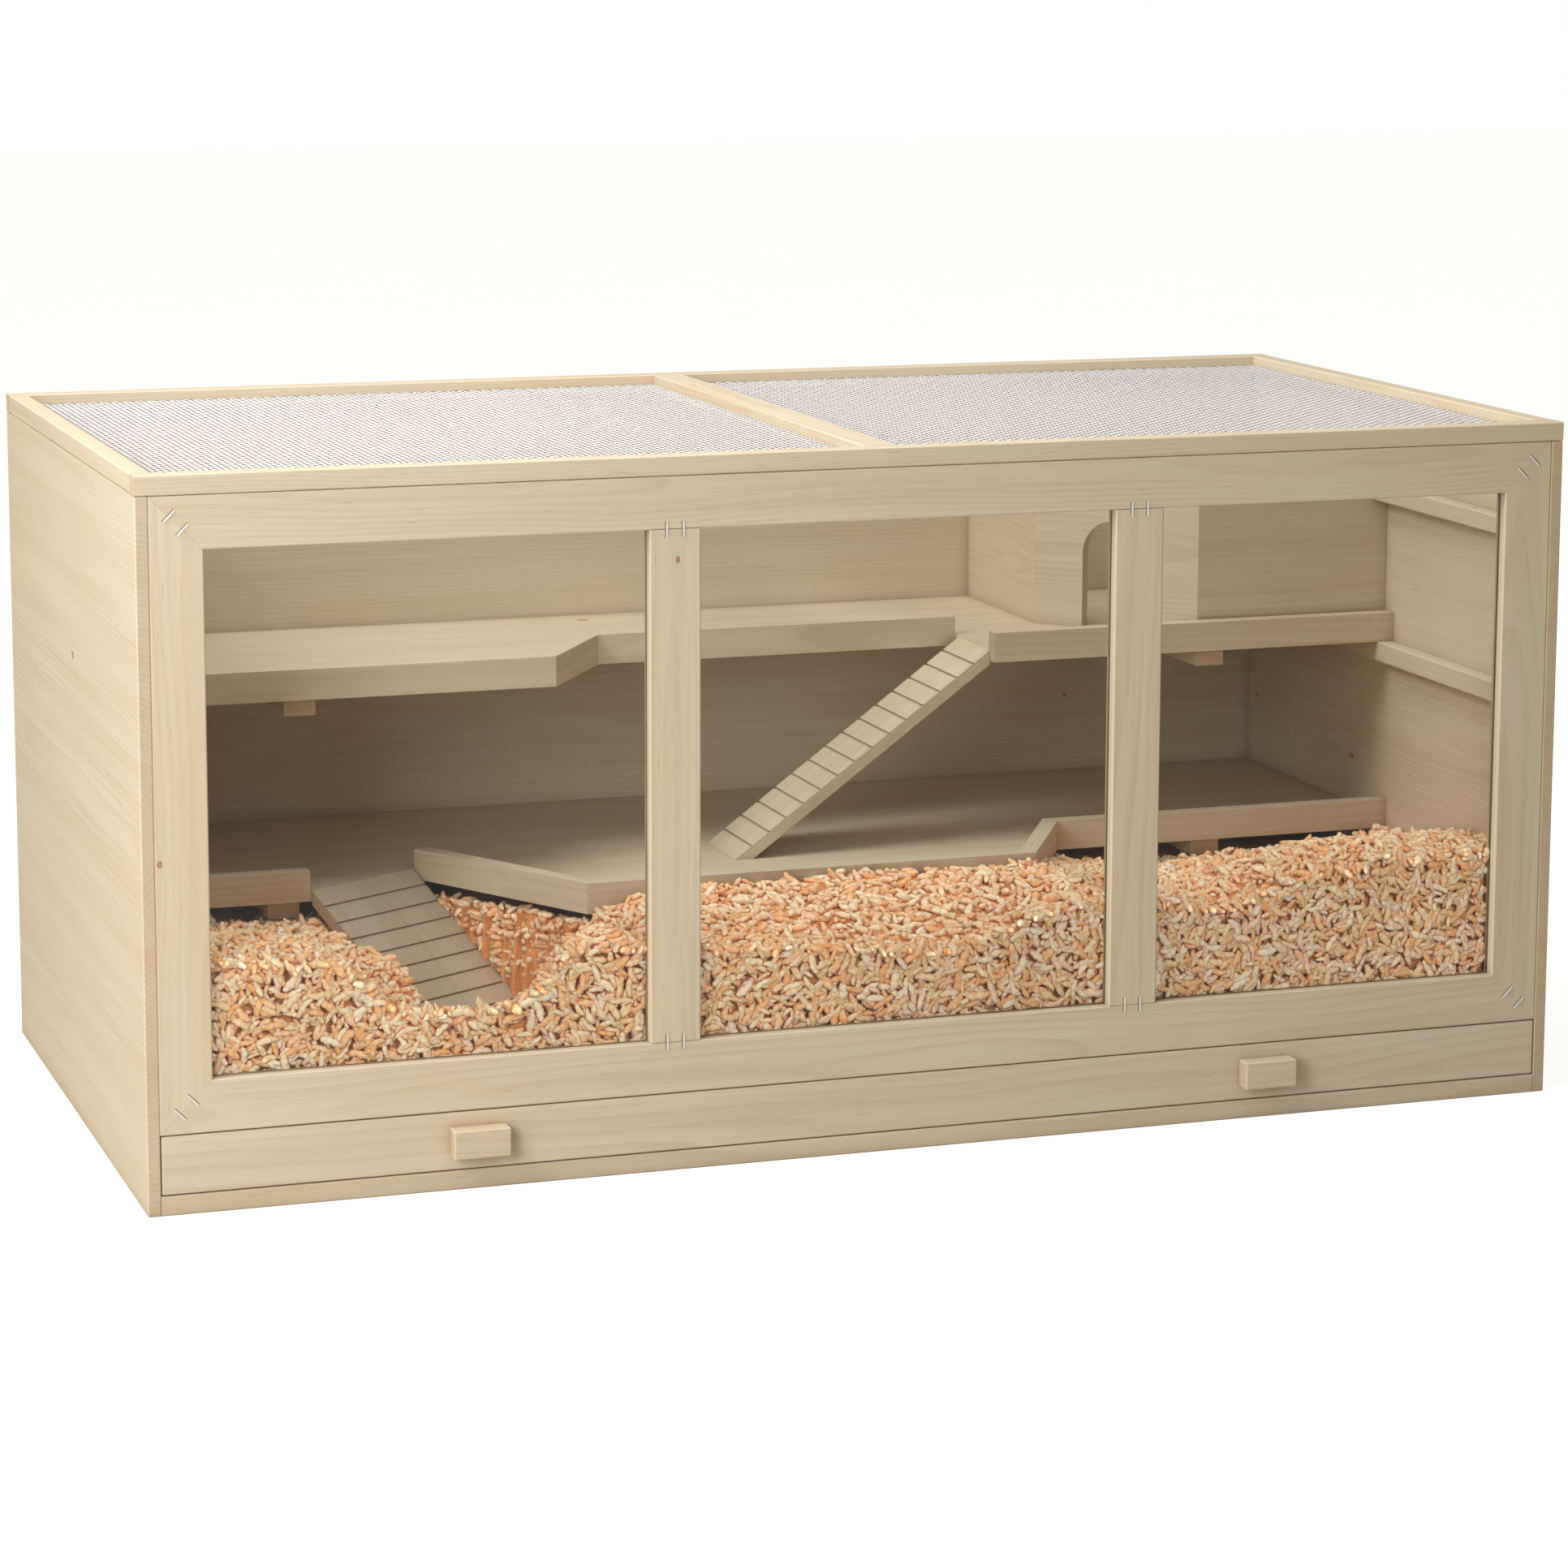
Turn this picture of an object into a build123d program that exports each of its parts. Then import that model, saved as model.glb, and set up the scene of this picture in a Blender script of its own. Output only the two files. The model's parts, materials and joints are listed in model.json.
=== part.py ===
from build123d import *
import math
import os

# Wooden hamster cage, millimetres.
# Origin at the centre of the carcass footprint on the floor, +X right, +Y back, +Z up.

# Overall carcass
WIDTH = 1150.0
DEPTH = 575.0
CARCASS_H = 535.0
PANEL_T = 10.0
HALF_IN = WIDTH / 2 - PANEL_T
FRONT_Y = -DEPTH / 2
REAR_Y = DEPTH / 2
EASE = 0.8

# Face frame at the front
FRAME_T = 15.0
FRAME_W = 40.0
FRAME_BACK_Y = FRONT_Y + FRAME_T
FRAME_Z0 = 61.0
WINDOW_Z0 = FRAME_Z0 + FRAME_W
WINDOW_Z1 = CARCASS_H - FRAME_W
WINDOW_X = HALF_IN - FRAME_W
MULLION_LEFT_X = -168.0
MULLION_RIGHT_X = 209.0

# Window panes, held in a groove round each window
PANE_T = 3.0
PANE_Y = FRONT_Y + 10.0
PANE_LAP = 8.0
PANE_FIT = 0.1

# Staples across the frame joints
STAPLE_CROWN = 12.0
STAPLE_WIRE = 1.2
STAPLE_PROUD = 0.6
STAPLE_LEG = 8.0
STAPLE_DENT = 1.0
STAPLE_DENT_D = 0.7
STAPLE_MULLION_PITCH = 13.0
STAPLE_MITRE_STEPS = (15.0, 25.0)

# Floor and rear
FLOOR_T = 15.0
BACK_PANEL_T = 9.0
BACK_IN_Y = REAR_Y - BACK_PANEL_T

# Drawer
DRAWER_GAP = 0.8
DRAWER_FRONT_T = 15.0
DRAWER_WALL_T = 9.0
DRAWER_WALL_Z0 = FLOOR_T + 0.4
DRAWER_WALL_Z1 = 56.0
DRAWER_SIDE_X = HALF_IN - 1.0
DRAWER_BACK_Y = 262.0
DRAWER_BOTTOM_T = 4.0
DRAWER_BOTTOM_Z0 = 19.4
KNOB_SIZE = (44.0, 15.0, 22.0)
KNOB_X = 324.0
KNOB_Z = 38.0
TRAY_BEDDING_Z1 = 50.0
SOFT_GAP = 0.3

# Shelves: a board with guard strips standing round its front edge
SHELF_T = 9.0
FASCIA_H = 25.0
FASCIA_T = 14.0
UPPER_UNDER = 331.0
UPPER_TOP = UPPER_UNDER + SHELF_T
UPPER_FRONT_Y = -16.5
UPPER_MIDDLE_Y = 76.5
UPPER_CHAMFER_X = (-184.0, -122.0)
UPPER_NOTCH_X = 196.0
LOWER_UNDER = 166.0
LOWER_TOP = LOWER_UNDER + SHELF_T
LOWER_SIDE_Y = -10.5
LOWER_FRONT_Y = -123.5
LOWER_LEFT_X = -388.0
LOWER_RAMP_EDGE = 115.0
LOWER_FRONT_X = 192.0
LOWER_ANGLE = math.radians(30.0)

# Battens on the side panels and bearers under the shelves
BATTEN_W = 15.0
BATTEN_H = 17.0
TOP_BATTEN_Z0 = 452.5
TOP_BATTEN_H = 15.0
BEARER_W = 26.0
BEARER_H = 14.0
UPPER_BEARER_X = (-394.0, 396.0)
LOWER_BEARER_X = (-409.0, 396.0)
UPPER_BEARER_Y0 = -7.5
LOWER_BEARER_Y0 = -4.5

# Hideaway on the upper shelf
HUT_T = 10.0
HUT_TOP = 467.0
HUT_LEFT_X = 285.5
HUT_SIDE_Y = 117.5
HUT_CORNER_X = 388.0
HUT_FRONT_Y = 0.5
DOOR_ALONG = 75.0
DOOR_R = 29.0
DOOR_SPRING_Z = 405.0

# Ramps
RAMP_T = 10.0
RAMP_ANGLE = math.radians(36.2)
GROOVE_W = 2.0
GROOVE_D = 1.6
UPPER_RAMP_W = 73.0
UPPER_RAMP_Y = 31.0
UPPER_GROOVES = 14
LOWER_RAMP_W = 112.0
LOWER_RAMP_FOOT_Z = 64.0
LOWER_GROOVES = 9

# Bedding in the cage: height along the front windows, from left to right
BEDDING_Z0 = 61.5
BEDDING_LOW_Z = 141.0
BEDDING_SIDE_Z = 151.0
BEDDING_CREST = (
    (-HALF_IN, 186.0),
    (-520.0, 186.0),
    (-435.0, 173.0),
    (-382.0, 143.5),
    (-289.0, 142.0),
    (-246.0, 172.0),
    (-100.0, 164.0),
    (55.0, 152.0),
    (103.0, 166.0),
    (190.0, 184.0),
    (290.0, 167.0),
    (360.0, 189.0),
    (431.0, 200.0),
    (HALF_IN, 196.0),
)
RAMP_POCKET = 1.0

# Lid
LID_GAP = 0.3
LID_T = 15.0
LID_Z0 = CARCASS_H + LID_GAP
LID_RAIL_W = 17.0
LID_SIDE_W = 15.5
LID_BAR_W = 26.0
LID_REBATE = 7.0
MESH_T = 0.8
MESH_Z1 = LID_Z0 + 6.5
BEAD_GAP = 0.3

# Hinges
HINGE_X = 400.0
HINGE_L = 60.0
HINGE_T = 1.5
KNUCKLE_R = 3.2
PIN_R = 1.5
PIN_FIT = 0.05
KNUCKLE_L = 20.0
KNUCKLE_GAP = 0.3
LOWER_LEAF_H = 22.0
UPPER_LEAF_H = 13.0
AXIS_Y = REAR_Y + KNUCKLE_R
AXIS_Z = CARCASS_H + LID_GAP / 2
SCREW_R = 1.25
SCREW_FIT = 0.03
SCREW_L = 10.0
SCREW_HEAD_R = 2.5
SCREW_HEAD_H = 1.1
SCREW_PITCH = 20.0
SCREW_LOWER_Z = 523.0
SCREW_UPPER_Z = 544.0


def corner_box(low, high):
    """Placement and size of a box given by two opposite corners."""
    middle = [(a + b) / 2 for a, b in zip(low, high)]
    size = [b - a for a, b in zip(low, high)]
    return Location(tuple(middle)), size


def add_box(low, high, mode=Mode.ADD):
    """A box between two corners, in the part being built."""
    place, size = corner_box(low, high)
    with Locations(place):
        return Box(*size, mode=mode)


def offset_corner(before, corner, after, thickness):
    """Where the inner faces of two strips meet, the strips lying left of the path."""
    d1 = (Vector(*corner) - Vector(*before)).normalized()
    d2 = (Vector(*after) - Vector(*corner)).normalized()
    n1 = Vector(-d1.Y, d1.X)
    n2 = Vector(-d2.Y, d2.X)
    reach = thickness / (1 + n1.dot(n2))
    inner = Vector(*corner) + (n1 + n2) * reach
    return (inner.X, inner.Y)


def offset_end(corner, before, after, thickness):
    """The inner corner of a square-cut strip end."""
    along = (Vector(*after) - Vector(*before)).normalized()
    return (corner[0] - along.Y * thickness, corner[1] + along.X * thickness)


def strip_outlines(path, thickness):
    """Plan outlines of strips mitred along a path, and the path of their inner faces."""
    inner = [offset_end(path[0], path[0], path[1], thickness)]
    for before, corner, after in zip(path, path[1:], path[2:]):
        inner.append(offset_corner(before, corner, after, thickness))
    inner.append(offset_end(path[-1], path[-2], path[-1], thickness))
    outlines = []
    for i in range(len(path) - 1):
        outlines.append([path[i], path[i + 1], inner[i + 1], inner[i]])
    return outlines, inner


def ramp_profile(start_z, foot_z):
    """Side view of a ramp: run along x, height along y, ends cut plumb and level."""
    slope = math.tan(RAMP_ANGLE)
    under = RAMP_T / math.cos(RAMP_ANGLE)
    return [
        (0, start_z),
        ((start_z - foot_z) / slope, foot_z),
        ((start_z - under - foot_z) / slope, foot_z),
        (0, start_z - under),
    ]


def groove_places(start_z, foot_z, count):
    """Evenly spaced points down the top of a ramp."""
    run = (start_z - foot_z) / math.tan(RAMP_ANGLE)
    step = run / (count + 1)
    slope = math.tan(RAMP_ANGLE)
    return [(step * (i + 1), start_z - step * (i + 1) * slope) for i in range(count)]


def staple_places():
    """Centre and direction of each staple on the front face, as x, z and degrees."""
    places = []
    for x in (MULLION_LEFT_X, MULLION_RIGHT_X):
        for z in (WINDOW_Z0, WINDOW_Z1):
            for side in (-1, 1):
                places.append((x + side * STAPLE_MULLION_PITCH / 2, z, 90))
    for side in (-1, 1):
        for z, up in ((FRAME_Z0, 1), (CARCASS_H, -1)):
            for step in STAPLE_MITRE_STEPS:
                places.append((side * (HALF_IN - step), z + up * step, side * up * 45))
    return places


def window_spans():
    """Left and right edge of each window."""
    half = FRAME_W / 2
    return (
        (-WINDOW_X, MULLION_LEFT_X - half),
        (MULLION_LEFT_X + half, MULLION_RIGHT_X - half),
        (MULLION_RIGHT_X + half, WINDOW_X),
    )


def cut_staples():
    """Takes the staples, and the dent pressed beside each, out of the member being built."""
    add(frame_staples.part, mode=Mode.SUBTRACT)
    for x, z, turn in staple_places():
        with Locations(Location((x, FRONT_Y, z), (0, -turn, 0))):
            with Locations((0, STAPLE_DENT_D / 2, (STAPLE_WIRE + STAPLE_DENT) / 2)):
                Box(STAPLE_CROWN, STAPLE_DENT_D, STAPLE_DENT, mode=Mode.SUBTRACT)


def cut_grooves():
    """Takes the pane grooves out of the frame member being built."""
    half = PANE_T / 2 + PANE_FIT
    lap = PANE_LAP + PANE_FIT
    for x0, x1 in window_spans():
        low = (x0 - lap, PANE_Y - half, WINDOW_Z0 - lap)
        add_box(low, (x1 + lap, PANE_Y + half, WINDOW_Z1 + lap), Mode.SUBTRACT)


# Front frame staples, bent wire with two legs in the wood
with BuildPart() as frame_staples:
    for x, z, turn in staple_places():
        with Locations(Location((x, FRONT_Y, z), (0, -turn, 0))):
            with Locations((0, -STAPLE_PROUD / 2, 0)):
                Box(STAPLE_CROWN, STAPLE_PROUD, STAPLE_WIRE)
            reach = (STAPLE_CROWN - STAPLE_WIRE) / 2
            with Locations((-reach, STAPLE_LEG / 2, 0), (reach, STAPLE_LEG / 2, 0)):
                Box(STAPLE_WIRE, STAPLE_LEG, STAPLE_WIRE)

# Side panels
with BuildPart() as left_side_panel:
    add_box((-WIDTH / 2, FRONT_Y, 0), (-HALF_IN, REAR_Y, CARCASS_H))
    chamfer(left_side_panel.edges(), EASE)

with BuildPart() as right_side_panel:
    add_box((HALF_IN, FRONT_Y, 0), (WIDTH / 2, REAR_Y, CARCASS_H))
    chamfer(right_side_panel.edges(), EASE)

# Front frame, mitred at the corners
FRAME_PLANE = Plane.XZ.offset(-FRAME_BACK_Y)

with BuildPart() as front_top_rail:
    with BuildSketch(FRAME_PLANE):
        with BuildLine():
            Polyline(
                (-HALF_IN, CARCASS_H),
                (HALF_IN, CARCASS_H),
                (WINDOW_X, WINDOW_Z1),
                (-WINDOW_X, WINDOW_Z1),
                close=True,
            )
        make_face()
    extrude(amount=FRAME_T)
    chamfer(front_top_rail.edges().filter_by(Axis.X), EASE)
    cut_grooves()
    cut_staples()

with BuildPart() as front_bottom_rail:
    with BuildSketch(FRAME_PLANE):
        with BuildLine():
            Polyline(
                (-HALF_IN, FRAME_Z0),
                (HALF_IN, FRAME_Z0),
                (WINDOW_X, WINDOW_Z0),
                (-WINDOW_X, WINDOW_Z0),
                close=True,
            )
        make_face()
    extrude(amount=FRAME_T)
    chamfer(front_bottom_rail.edges().filter_by(Axis.X), EASE)
    cut_grooves()
    cut_staples()

with BuildPart() as front_left_stile:
    with BuildSketch(FRAME_PLANE):
        with BuildLine():
            Polyline(
                (-HALF_IN, FRAME_Z0),
                (-WINDOW_X, WINDOW_Z0),
                (-WINDOW_X, WINDOW_Z1),
                (-HALF_IN, CARCASS_H),
                close=True,
            )
        make_face()
    extrude(amount=FRAME_T)
    chamfer(front_left_stile.edges().filter_by(Axis.Z), EASE)
    cut_grooves()
    cut_staples()

with BuildPart() as front_right_stile:
    with BuildSketch(FRAME_PLANE):
        with BuildLine():
            Polyline(
                (HALF_IN, FRAME_Z0),
                (WINDOW_X, WINDOW_Z0),
                (WINDOW_X, WINDOW_Z1),
                (HALF_IN, CARCASS_H),
                close=True,
            )
        make_face()
    extrude(amount=FRAME_T)
    chamfer(front_right_stile.edges().filter_by(Axis.Z), EASE)
    cut_grooves()
    cut_staples()

with BuildPart() as mullion_left:
    add_box(
        (MULLION_LEFT_X - FRAME_W / 2, FRONT_Y, WINDOW_Z0),
        (MULLION_LEFT_X + FRAME_W / 2, FRAME_BACK_Y, WINDOW_Z1),
    )
    chamfer(mullion_left.edges().filter_by(Axis.Z), EASE)
    cut_grooves()
    cut_staples()

with BuildPart() as mullion_right:
    add_box(
        (MULLION_RIGHT_X - FRAME_W / 2, FRONT_Y, WINDOW_Z0),
        (MULLION_RIGHT_X + FRAME_W / 2, FRAME_BACK_Y, WINDOW_Z1),
    )
    chamfer(mullion_right.edges().filter_by(Axis.Z), EASE)
    cut_grooves()
    cut_staples()

# Window panes
PANES = window_spans()
PANE_LOW = (PANE_Y - PANE_T / 2, WINDOW_Z0 - PANE_LAP)
PANE_HIGH = (PANE_Y + PANE_T / 2, WINDOW_Z1 + PANE_LAP)

with BuildPart() as pane_left:
    add_box((PANES[0][0] - PANE_LAP, *PANE_LOW), (PANES[0][1] + PANE_LAP, *PANE_HIGH))

with BuildPart() as pane_middle:
    add_box((PANES[1][0] - PANE_LAP, *PANE_LOW), (PANES[1][1] + PANE_LAP, *PANE_HIGH))

with BuildPart() as pane_right:
    add_box((PANES[2][0] - PANE_LAP, *PANE_LOW), (PANES[2][1] + PANE_LAP, *PANE_HIGH))

# Floor board
with BuildPart() as floor_board:
    add_box((-HALF_IN, FRONT_Y, 0), (HALF_IN, BACK_IN_Y, FLOOR_T))
    chamfer(floor_board.edges().filter_by(Axis.X).group_by(Axis.Y)[0], EASE)

# Hinge screws, six through each kind of leaf
SCREW_X = [side * HINGE_X + i * SCREW_PITCH for side in (-1, 1) for i in (-1, 0, 1)]
HEAD_PLANE = Plane.XZ.offset(-REAR_Y - HINGE_T)


def add_screws(z):
    """Screws with round heads standing on the hinge leaves."""
    with BuildSketch(HEAD_PLANE) as shanks:
        with Locations(*[(x, z) for x in SCREW_X]):
            Circle(SCREW_R)
    extrude(shanks.sketch, amount=SCREW_L)
    with BuildSketch(HEAD_PLANE) as heads:
        with Locations(*[(x, z) for x in SCREW_X]):
            Circle(SCREW_HEAD_R)
    extrude(heads.sketch, amount=-SCREW_HEAD_H)


def cut_screw_holes(z):
    """Takes the screw holes out of the piece being built."""
    with BuildSketch(HEAD_PLANE) as holes:
        with Locations(*[(x, z) for x in SCREW_X]):
            Circle(SCREW_R + SCREW_FIT)
    extrude(holes.sketch, amount=SCREW_L + SCREW_FIT, mode=Mode.SUBTRACT)


with BuildPart() as hinge_screws_lower:
    add_screws(SCREW_LOWER_Z)

with BuildPart() as hinge_screws_upper:
    add_screws(SCREW_UPPER_Z)

with BuildPart() as back_panel:
    add_box((-HALF_IN, BACK_IN_Y, 0), (HALF_IN, REAR_Y, CARCASS_H))
    chamfer(back_panel.edges().filter_by(Axis.X).group_by(Axis.Y)[-1], EASE)
    cut_screw_holes(SCREW_LOWER_Z)

# Hinge leaves and pins

def add_knuckles(spans, bore):
    """Hinge barrels about the lid's axis, over the given spans along each hinge."""
    for side in (-1, 1):
        for x0, x1 in spans:
            start = side * HINGE_X + x0
            with BuildSketch(Plane.YZ.offset(start)) as barrel:
                with Locations((AXIS_Y, AXIS_Z)):
                    Circle(KNUCKLE_R)
            extrude(barrel.sketch, amount=x1 - x0)
    for side in (-1, 1):
        with BuildSketch(Plane.YZ.offset(side * HINGE_X - HINGE_L / 2)) as pin_hole:
            with Locations((AXIS_Y, AXIS_Z)):
                Circle(bore)
        extrude(pin_hole.sketch, amount=HINGE_L, mode=Mode.SUBTRACT)


MIDDLE_SPAN = [(-KNUCKLE_L / 2, KNUCKLE_L / 2)]
OUTER_SPANS = [
    (-HINGE_L / 2, -KNUCKLE_L / 2 - KNUCKLE_GAP),
    (KNUCKLE_L / 2 + KNUCKLE_GAP, HINGE_L / 2),
]
LEAF_CLEAR = KNUCKLE_R + KNUCKLE_GAP

with BuildPart() as hinge_lower_leaves:
    for side in (-1, 1):
        x0 = side * HINGE_X
        add_box(
            (x0 - HINGE_L / 2, REAR_Y, AXIS_Z - LOWER_LEAF_H),
            (x0 + HINGE_L / 2, REAR_Y + HINGE_T, AXIS_Z - LEAF_CLEAR),
        )
        add_box(
            (x0 - KNUCKLE_L / 2, REAR_Y, AXIS_Z - LEAF_CLEAR),
            (x0 + KNUCKLE_L / 2, REAR_Y + HINGE_T, AXIS_Z),
        )
    add_knuckles(MIDDLE_SPAN, PIN_R)
    cut_screw_holes(SCREW_LOWER_Z)

with BuildPart() as hinge_upper_leaves:
    for side in (-1, 1):
        x0 = side * HINGE_X
        add_box(
            (x0 - HINGE_L / 2, REAR_Y, AXIS_Z + LEAF_CLEAR),
            (x0 + HINGE_L / 2, REAR_Y + HINGE_T, AXIS_Z + UPPER_LEAF_H),
        )
        for s0, s1 in OUTER_SPANS:
            add_box(
                (x0 + s0, REAR_Y, AXIS_Z),
                (x0 + s1, REAR_Y + HINGE_T, AXIS_Z + LEAF_CLEAR),
            )
    add_knuckles(OUTER_SPANS, PIN_R + PIN_FIT)
    cut_screw_holes(SCREW_UPPER_Z)

with BuildPart() as hinge_pins:
    for side in (-1, 1):
        with BuildSketch(Plane.YZ.offset(side * HINGE_X - HINGE_L / 2)):
            with Locations((AXIS_Y, AXIS_Z)):
                Circle(PIN_R)
        extrude(amount=HINGE_L)

# Battens on the side panels
with BuildPart() as upper_battens:
    for x0, x1 in ((-HALF_IN, -HALF_IN + BATTEN_W), (HALF_IN - BATTEN_W, HALF_IN)):
        top = UPPER_UNDER
        add_box((x0, FRAME_BACK_Y, top - BATTEN_H), (x1, BACK_IN_Y, top))
    chamfer(upper_battens.edges().filter_by(Axis.Y), EASE)

with BuildPart() as lower_battens:
    for x0, x1 in ((-HALF_IN, -HALF_IN + BATTEN_W), (HALF_IN - BATTEN_W, HALF_IN)):
        top = LOWER_UNDER
        add_box((x0, LOWER_SIDE_Y, top - BATTEN_H), (x1, BACK_IN_Y, top))
    chamfer(lower_battens.edges().filter_by(Axis.Y), EASE)

with BuildPart() as top_batten:
    add_box(
        (HALF_IN - BATTEN_W, FRAME_BACK_Y, TOP_BATTEN_Z0),
        (HALF_IN, HUT_FRONT_Y, TOP_BATTEN_Z0 + TOP_BATTEN_H),
    )
    chamfer(top_batten.edges().filter_by(Axis.Y), EASE)

# Bearers under the shelves, front to back
with BuildPart() as upper_bearers:
    for x in UPPER_BEARER_X:
        top = UPPER_UNDER
        add_box(
            (x - BEARER_W / 2, UPPER_BEARER_Y0, top - BEARER_H),
            (x + BEARER_W / 2, BACK_IN_Y, top),
        )
    chamfer(upper_bearers.edges().filter_by(Axis.Y), EASE)

with BuildPart() as lower_bearers:
    for x in LOWER_BEARER_X:
        top = LOWER_UNDER
        add_box(
            (x - BEARER_W / 2, LOWER_BEARER_Y0, top - BEARER_H),
            (x + BEARER_W / 2, BACK_IN_Y, top),
        )
    chamfer(lower_bearers.edges().filter_by(Axis.Y), EASE)

# Upper shelf: fascia strips round the front edge and a board between them
UPPER_PATH = [
    (-HALF_IN, UPPER_FRONT_Y),
    (UPPER_CHAMFER_X[0], UPPER_FRONT_Y),
    (UPPER_CHAMFER_X[1], UPPER_MIDDLE_Y),
    (UPPER_NOTCH_X, UPPER_MIDDLE_Y),
]
UPPER_STRIPS, UPPER_INNER = strip_outlines(UPPER_PATH, FASCIA_T)
UPPER_RIGHT = [
    (UPPER_NOTCH_X, UPPER_FRONT_Y),
    (HALF_IN, UPPER_FRONT_Y),
    (HALF_IN, UPPER_FRONT_Y + FASCIA_T),
    (UPPER_NOTCH_X, UPPER_FRONT_Y + FASCIA_T),
]
UPPER_BOARD = UPPER_INNER + [
    (UPPER_NOTCH_X, UPPER_FRONT_Y + FASCIA_T),
    (HALF_IN, UPPER_FRONT_Y + FASCIA_T),
    (HALF_IN, BACK_IN_Y),
    (-HALF_IN, BACK_IN_Y),
]

# Lower shelf: a deep middle between two diagonals, and a ramp opening on the left
RAMP_EDGE_X = LOWER_LEFT_X + LOWER_RAMP_EDGE * math.cos(LOWER_ANGLE)
RAMP_EDGE_Y = LOWER_SIDE_Y + LOWER_RAMP_EDGE * math.sin(LOWER_ANGLE)
DIAGONAL_RUN = math.tan(LOWER_ANGLE)
LOWER_LEFT = [
    (-HALF_IN, LOWER_SIDE_Y),
    (LOWER_LEFT_X, LOWER_SIDE_Y),
    (LOWER_LEFT_X, LOWER_SIDE_Y + FASCIA_T),
    (-HALF_IN, LOWER_SIDE_Y + FASCIA_T),
]
LOWER_PATH = [
    (RAMP_EDGE_X, RAMP_EDGE_Y),
    (RAMP_EDGE_X + (RAMP_EDGE_Y - LOWER_FRONT_Y) * DIAGONAL_RUN, LOWER_FRONT_Y),
    (LOWER_FRONT_X, LOWER_FRONT_Y),
    (LOWER_FRONT_X + (LOWER_SIDE_Y - LOWER_FRONT_Y) * DIAGONAL_RUN, LOWER_SIDE_Y),
    (HALF_IN, LOWER_SIDE_Y),
]
LOWER_STRIPS, LOWER_INNER = strip_outlines(LOWER_PATH, FASCIA_T)
LOWER_BOARD = LOWER_INNER + [
    (HALF_IN, BACK_IN_Y),
    (-HALF_IN, BACK_IN_Y),
    (-HALF_IN, LOWER_SIDE_Y + FASCIA_T),
    (LOWER_LEFT_X, LOWER_SIDE_Y + FASCIA_T),
    (LOWER_LEFT_X, LOWER_SIDE_Y),
]


def add_plate(outline, z0, thickness):
    """A flat plate with the given plan outline."""
    with BuildSketch(Plane.XY.offset(z0)) as plan:
        with BuildLine():
            Polyline(*outline, close=True)
        make_face()
    extrude(plan.sketch, amount=thickness)


with BuildPart() as upper_shelf:
    add_plate(UPPER_BOARD, UPPER_UNDER, SHELF_T)

with BuildPart() as upper_fascia_left:
    add_plate(UPPER_STRIPS[0], UPPER_UNDER, FASCIA_H)

with BuildPart() as upper_fascia_chamfer:
    add_plate(UPPER_STRIPS[1], UPPER_UNDER, FASCIA_H)

with BuildPart() as upper_fascia_middle:
    add_plate(UPPER_STRIPS[2], UPPER_UNDER, FASCIA_H)

with BuildPart() as upper_fascia_right:
    add_plate(UPPER_RIGHT, UPPER_UNDER, FASCIA_H)

with BuildPart() as lower_shelf:
    add_plate(LOWER_BOARD, LOWER_UNDER, SHELF_T)

with BuildPart() as lower_fascia_left:
    add_plate(LOWER_LEFT, LOWER_UNDER, FASCIA_H)

with BuildPart() as lower_fascia_diagonal_left:
    add_plate(LOWER_STRIPS[0], LOWER_UNDER, FASCIA_H)

with BuildPart() as lower_fascia_front:
    add_plate(LOWER_STRIPS[1], LOWER_UNDER, FASCIA_H)

with BuildPart() as lower_fascia_diagonal_right:
    add_plate(LOWER_STRIPS[2], LOWER_UNDER, FASCIA_H)

with BuildPart() as lower_fascia_right:
    add_plate(LOWER_STRIPS[3], LOWER_UNDER, FASCIA_H)

# Hideaway: left wall, diagonal wall with an arched doorway, front wall
HUT_H = HUT_TOP - UPPER_TOP
HUT_PATH = [
    (HUT_LEFT_X, BACK_IN_Y),
    (HUT_LEFT_X, HUT_SIDE_Y),
    (HUT_CORNER_X, HUT_FRONT_Y),
    (HALF_IN, HUT_FRONT_Y),
]
HUT_WALLS = strip_outlines(HUT_PATH, HUT_T)[0]
DOOR_DIR = (Vector(*HUT_PATH[2]) - Vector(*HUT_PATH[1])).normalized()
DOOR_PLANE = Plane(
    origin=(*HUT_PATH[1], 0),
    x_dir=(DOOR_DIR.X, DOOR_DIR.Y, 0),
    z_dir=(DOOR_DIR.Y, -DOOR_DIR.X, 0),
)

with BuildPart() as hut_left_wall:
    add_plate(HUT_WALLS[0], UPPER_TOP, HUT_H)

with BuildPart() as hut_door_wall:
    add_plate(HUT_WALLS[1], UPPER_TOP, HUT_H)
    with BuildSketch(DOOR_PLANE) as doorway:
        with Locations((DOOR_ALONG, DOOR_SPRING_Z)):
            Circle(DOOR_R)
        with Locations((DOOR_ALONG, (UPPER_TOP + DOOR_SPRING_Z) / 2)):
            Rectangle(2 * DOOR_R, DOOR_SPRING_Z - UPPER_TOP)
    extrude(doorway.sketch, amount=-HUT_T, mode=Mode.SUBTRACT)

with BuildPart() as hut_front_wall:
    add_plate(HUT_WALLS[2], UPPER_TOP, HUT_H)

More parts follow.
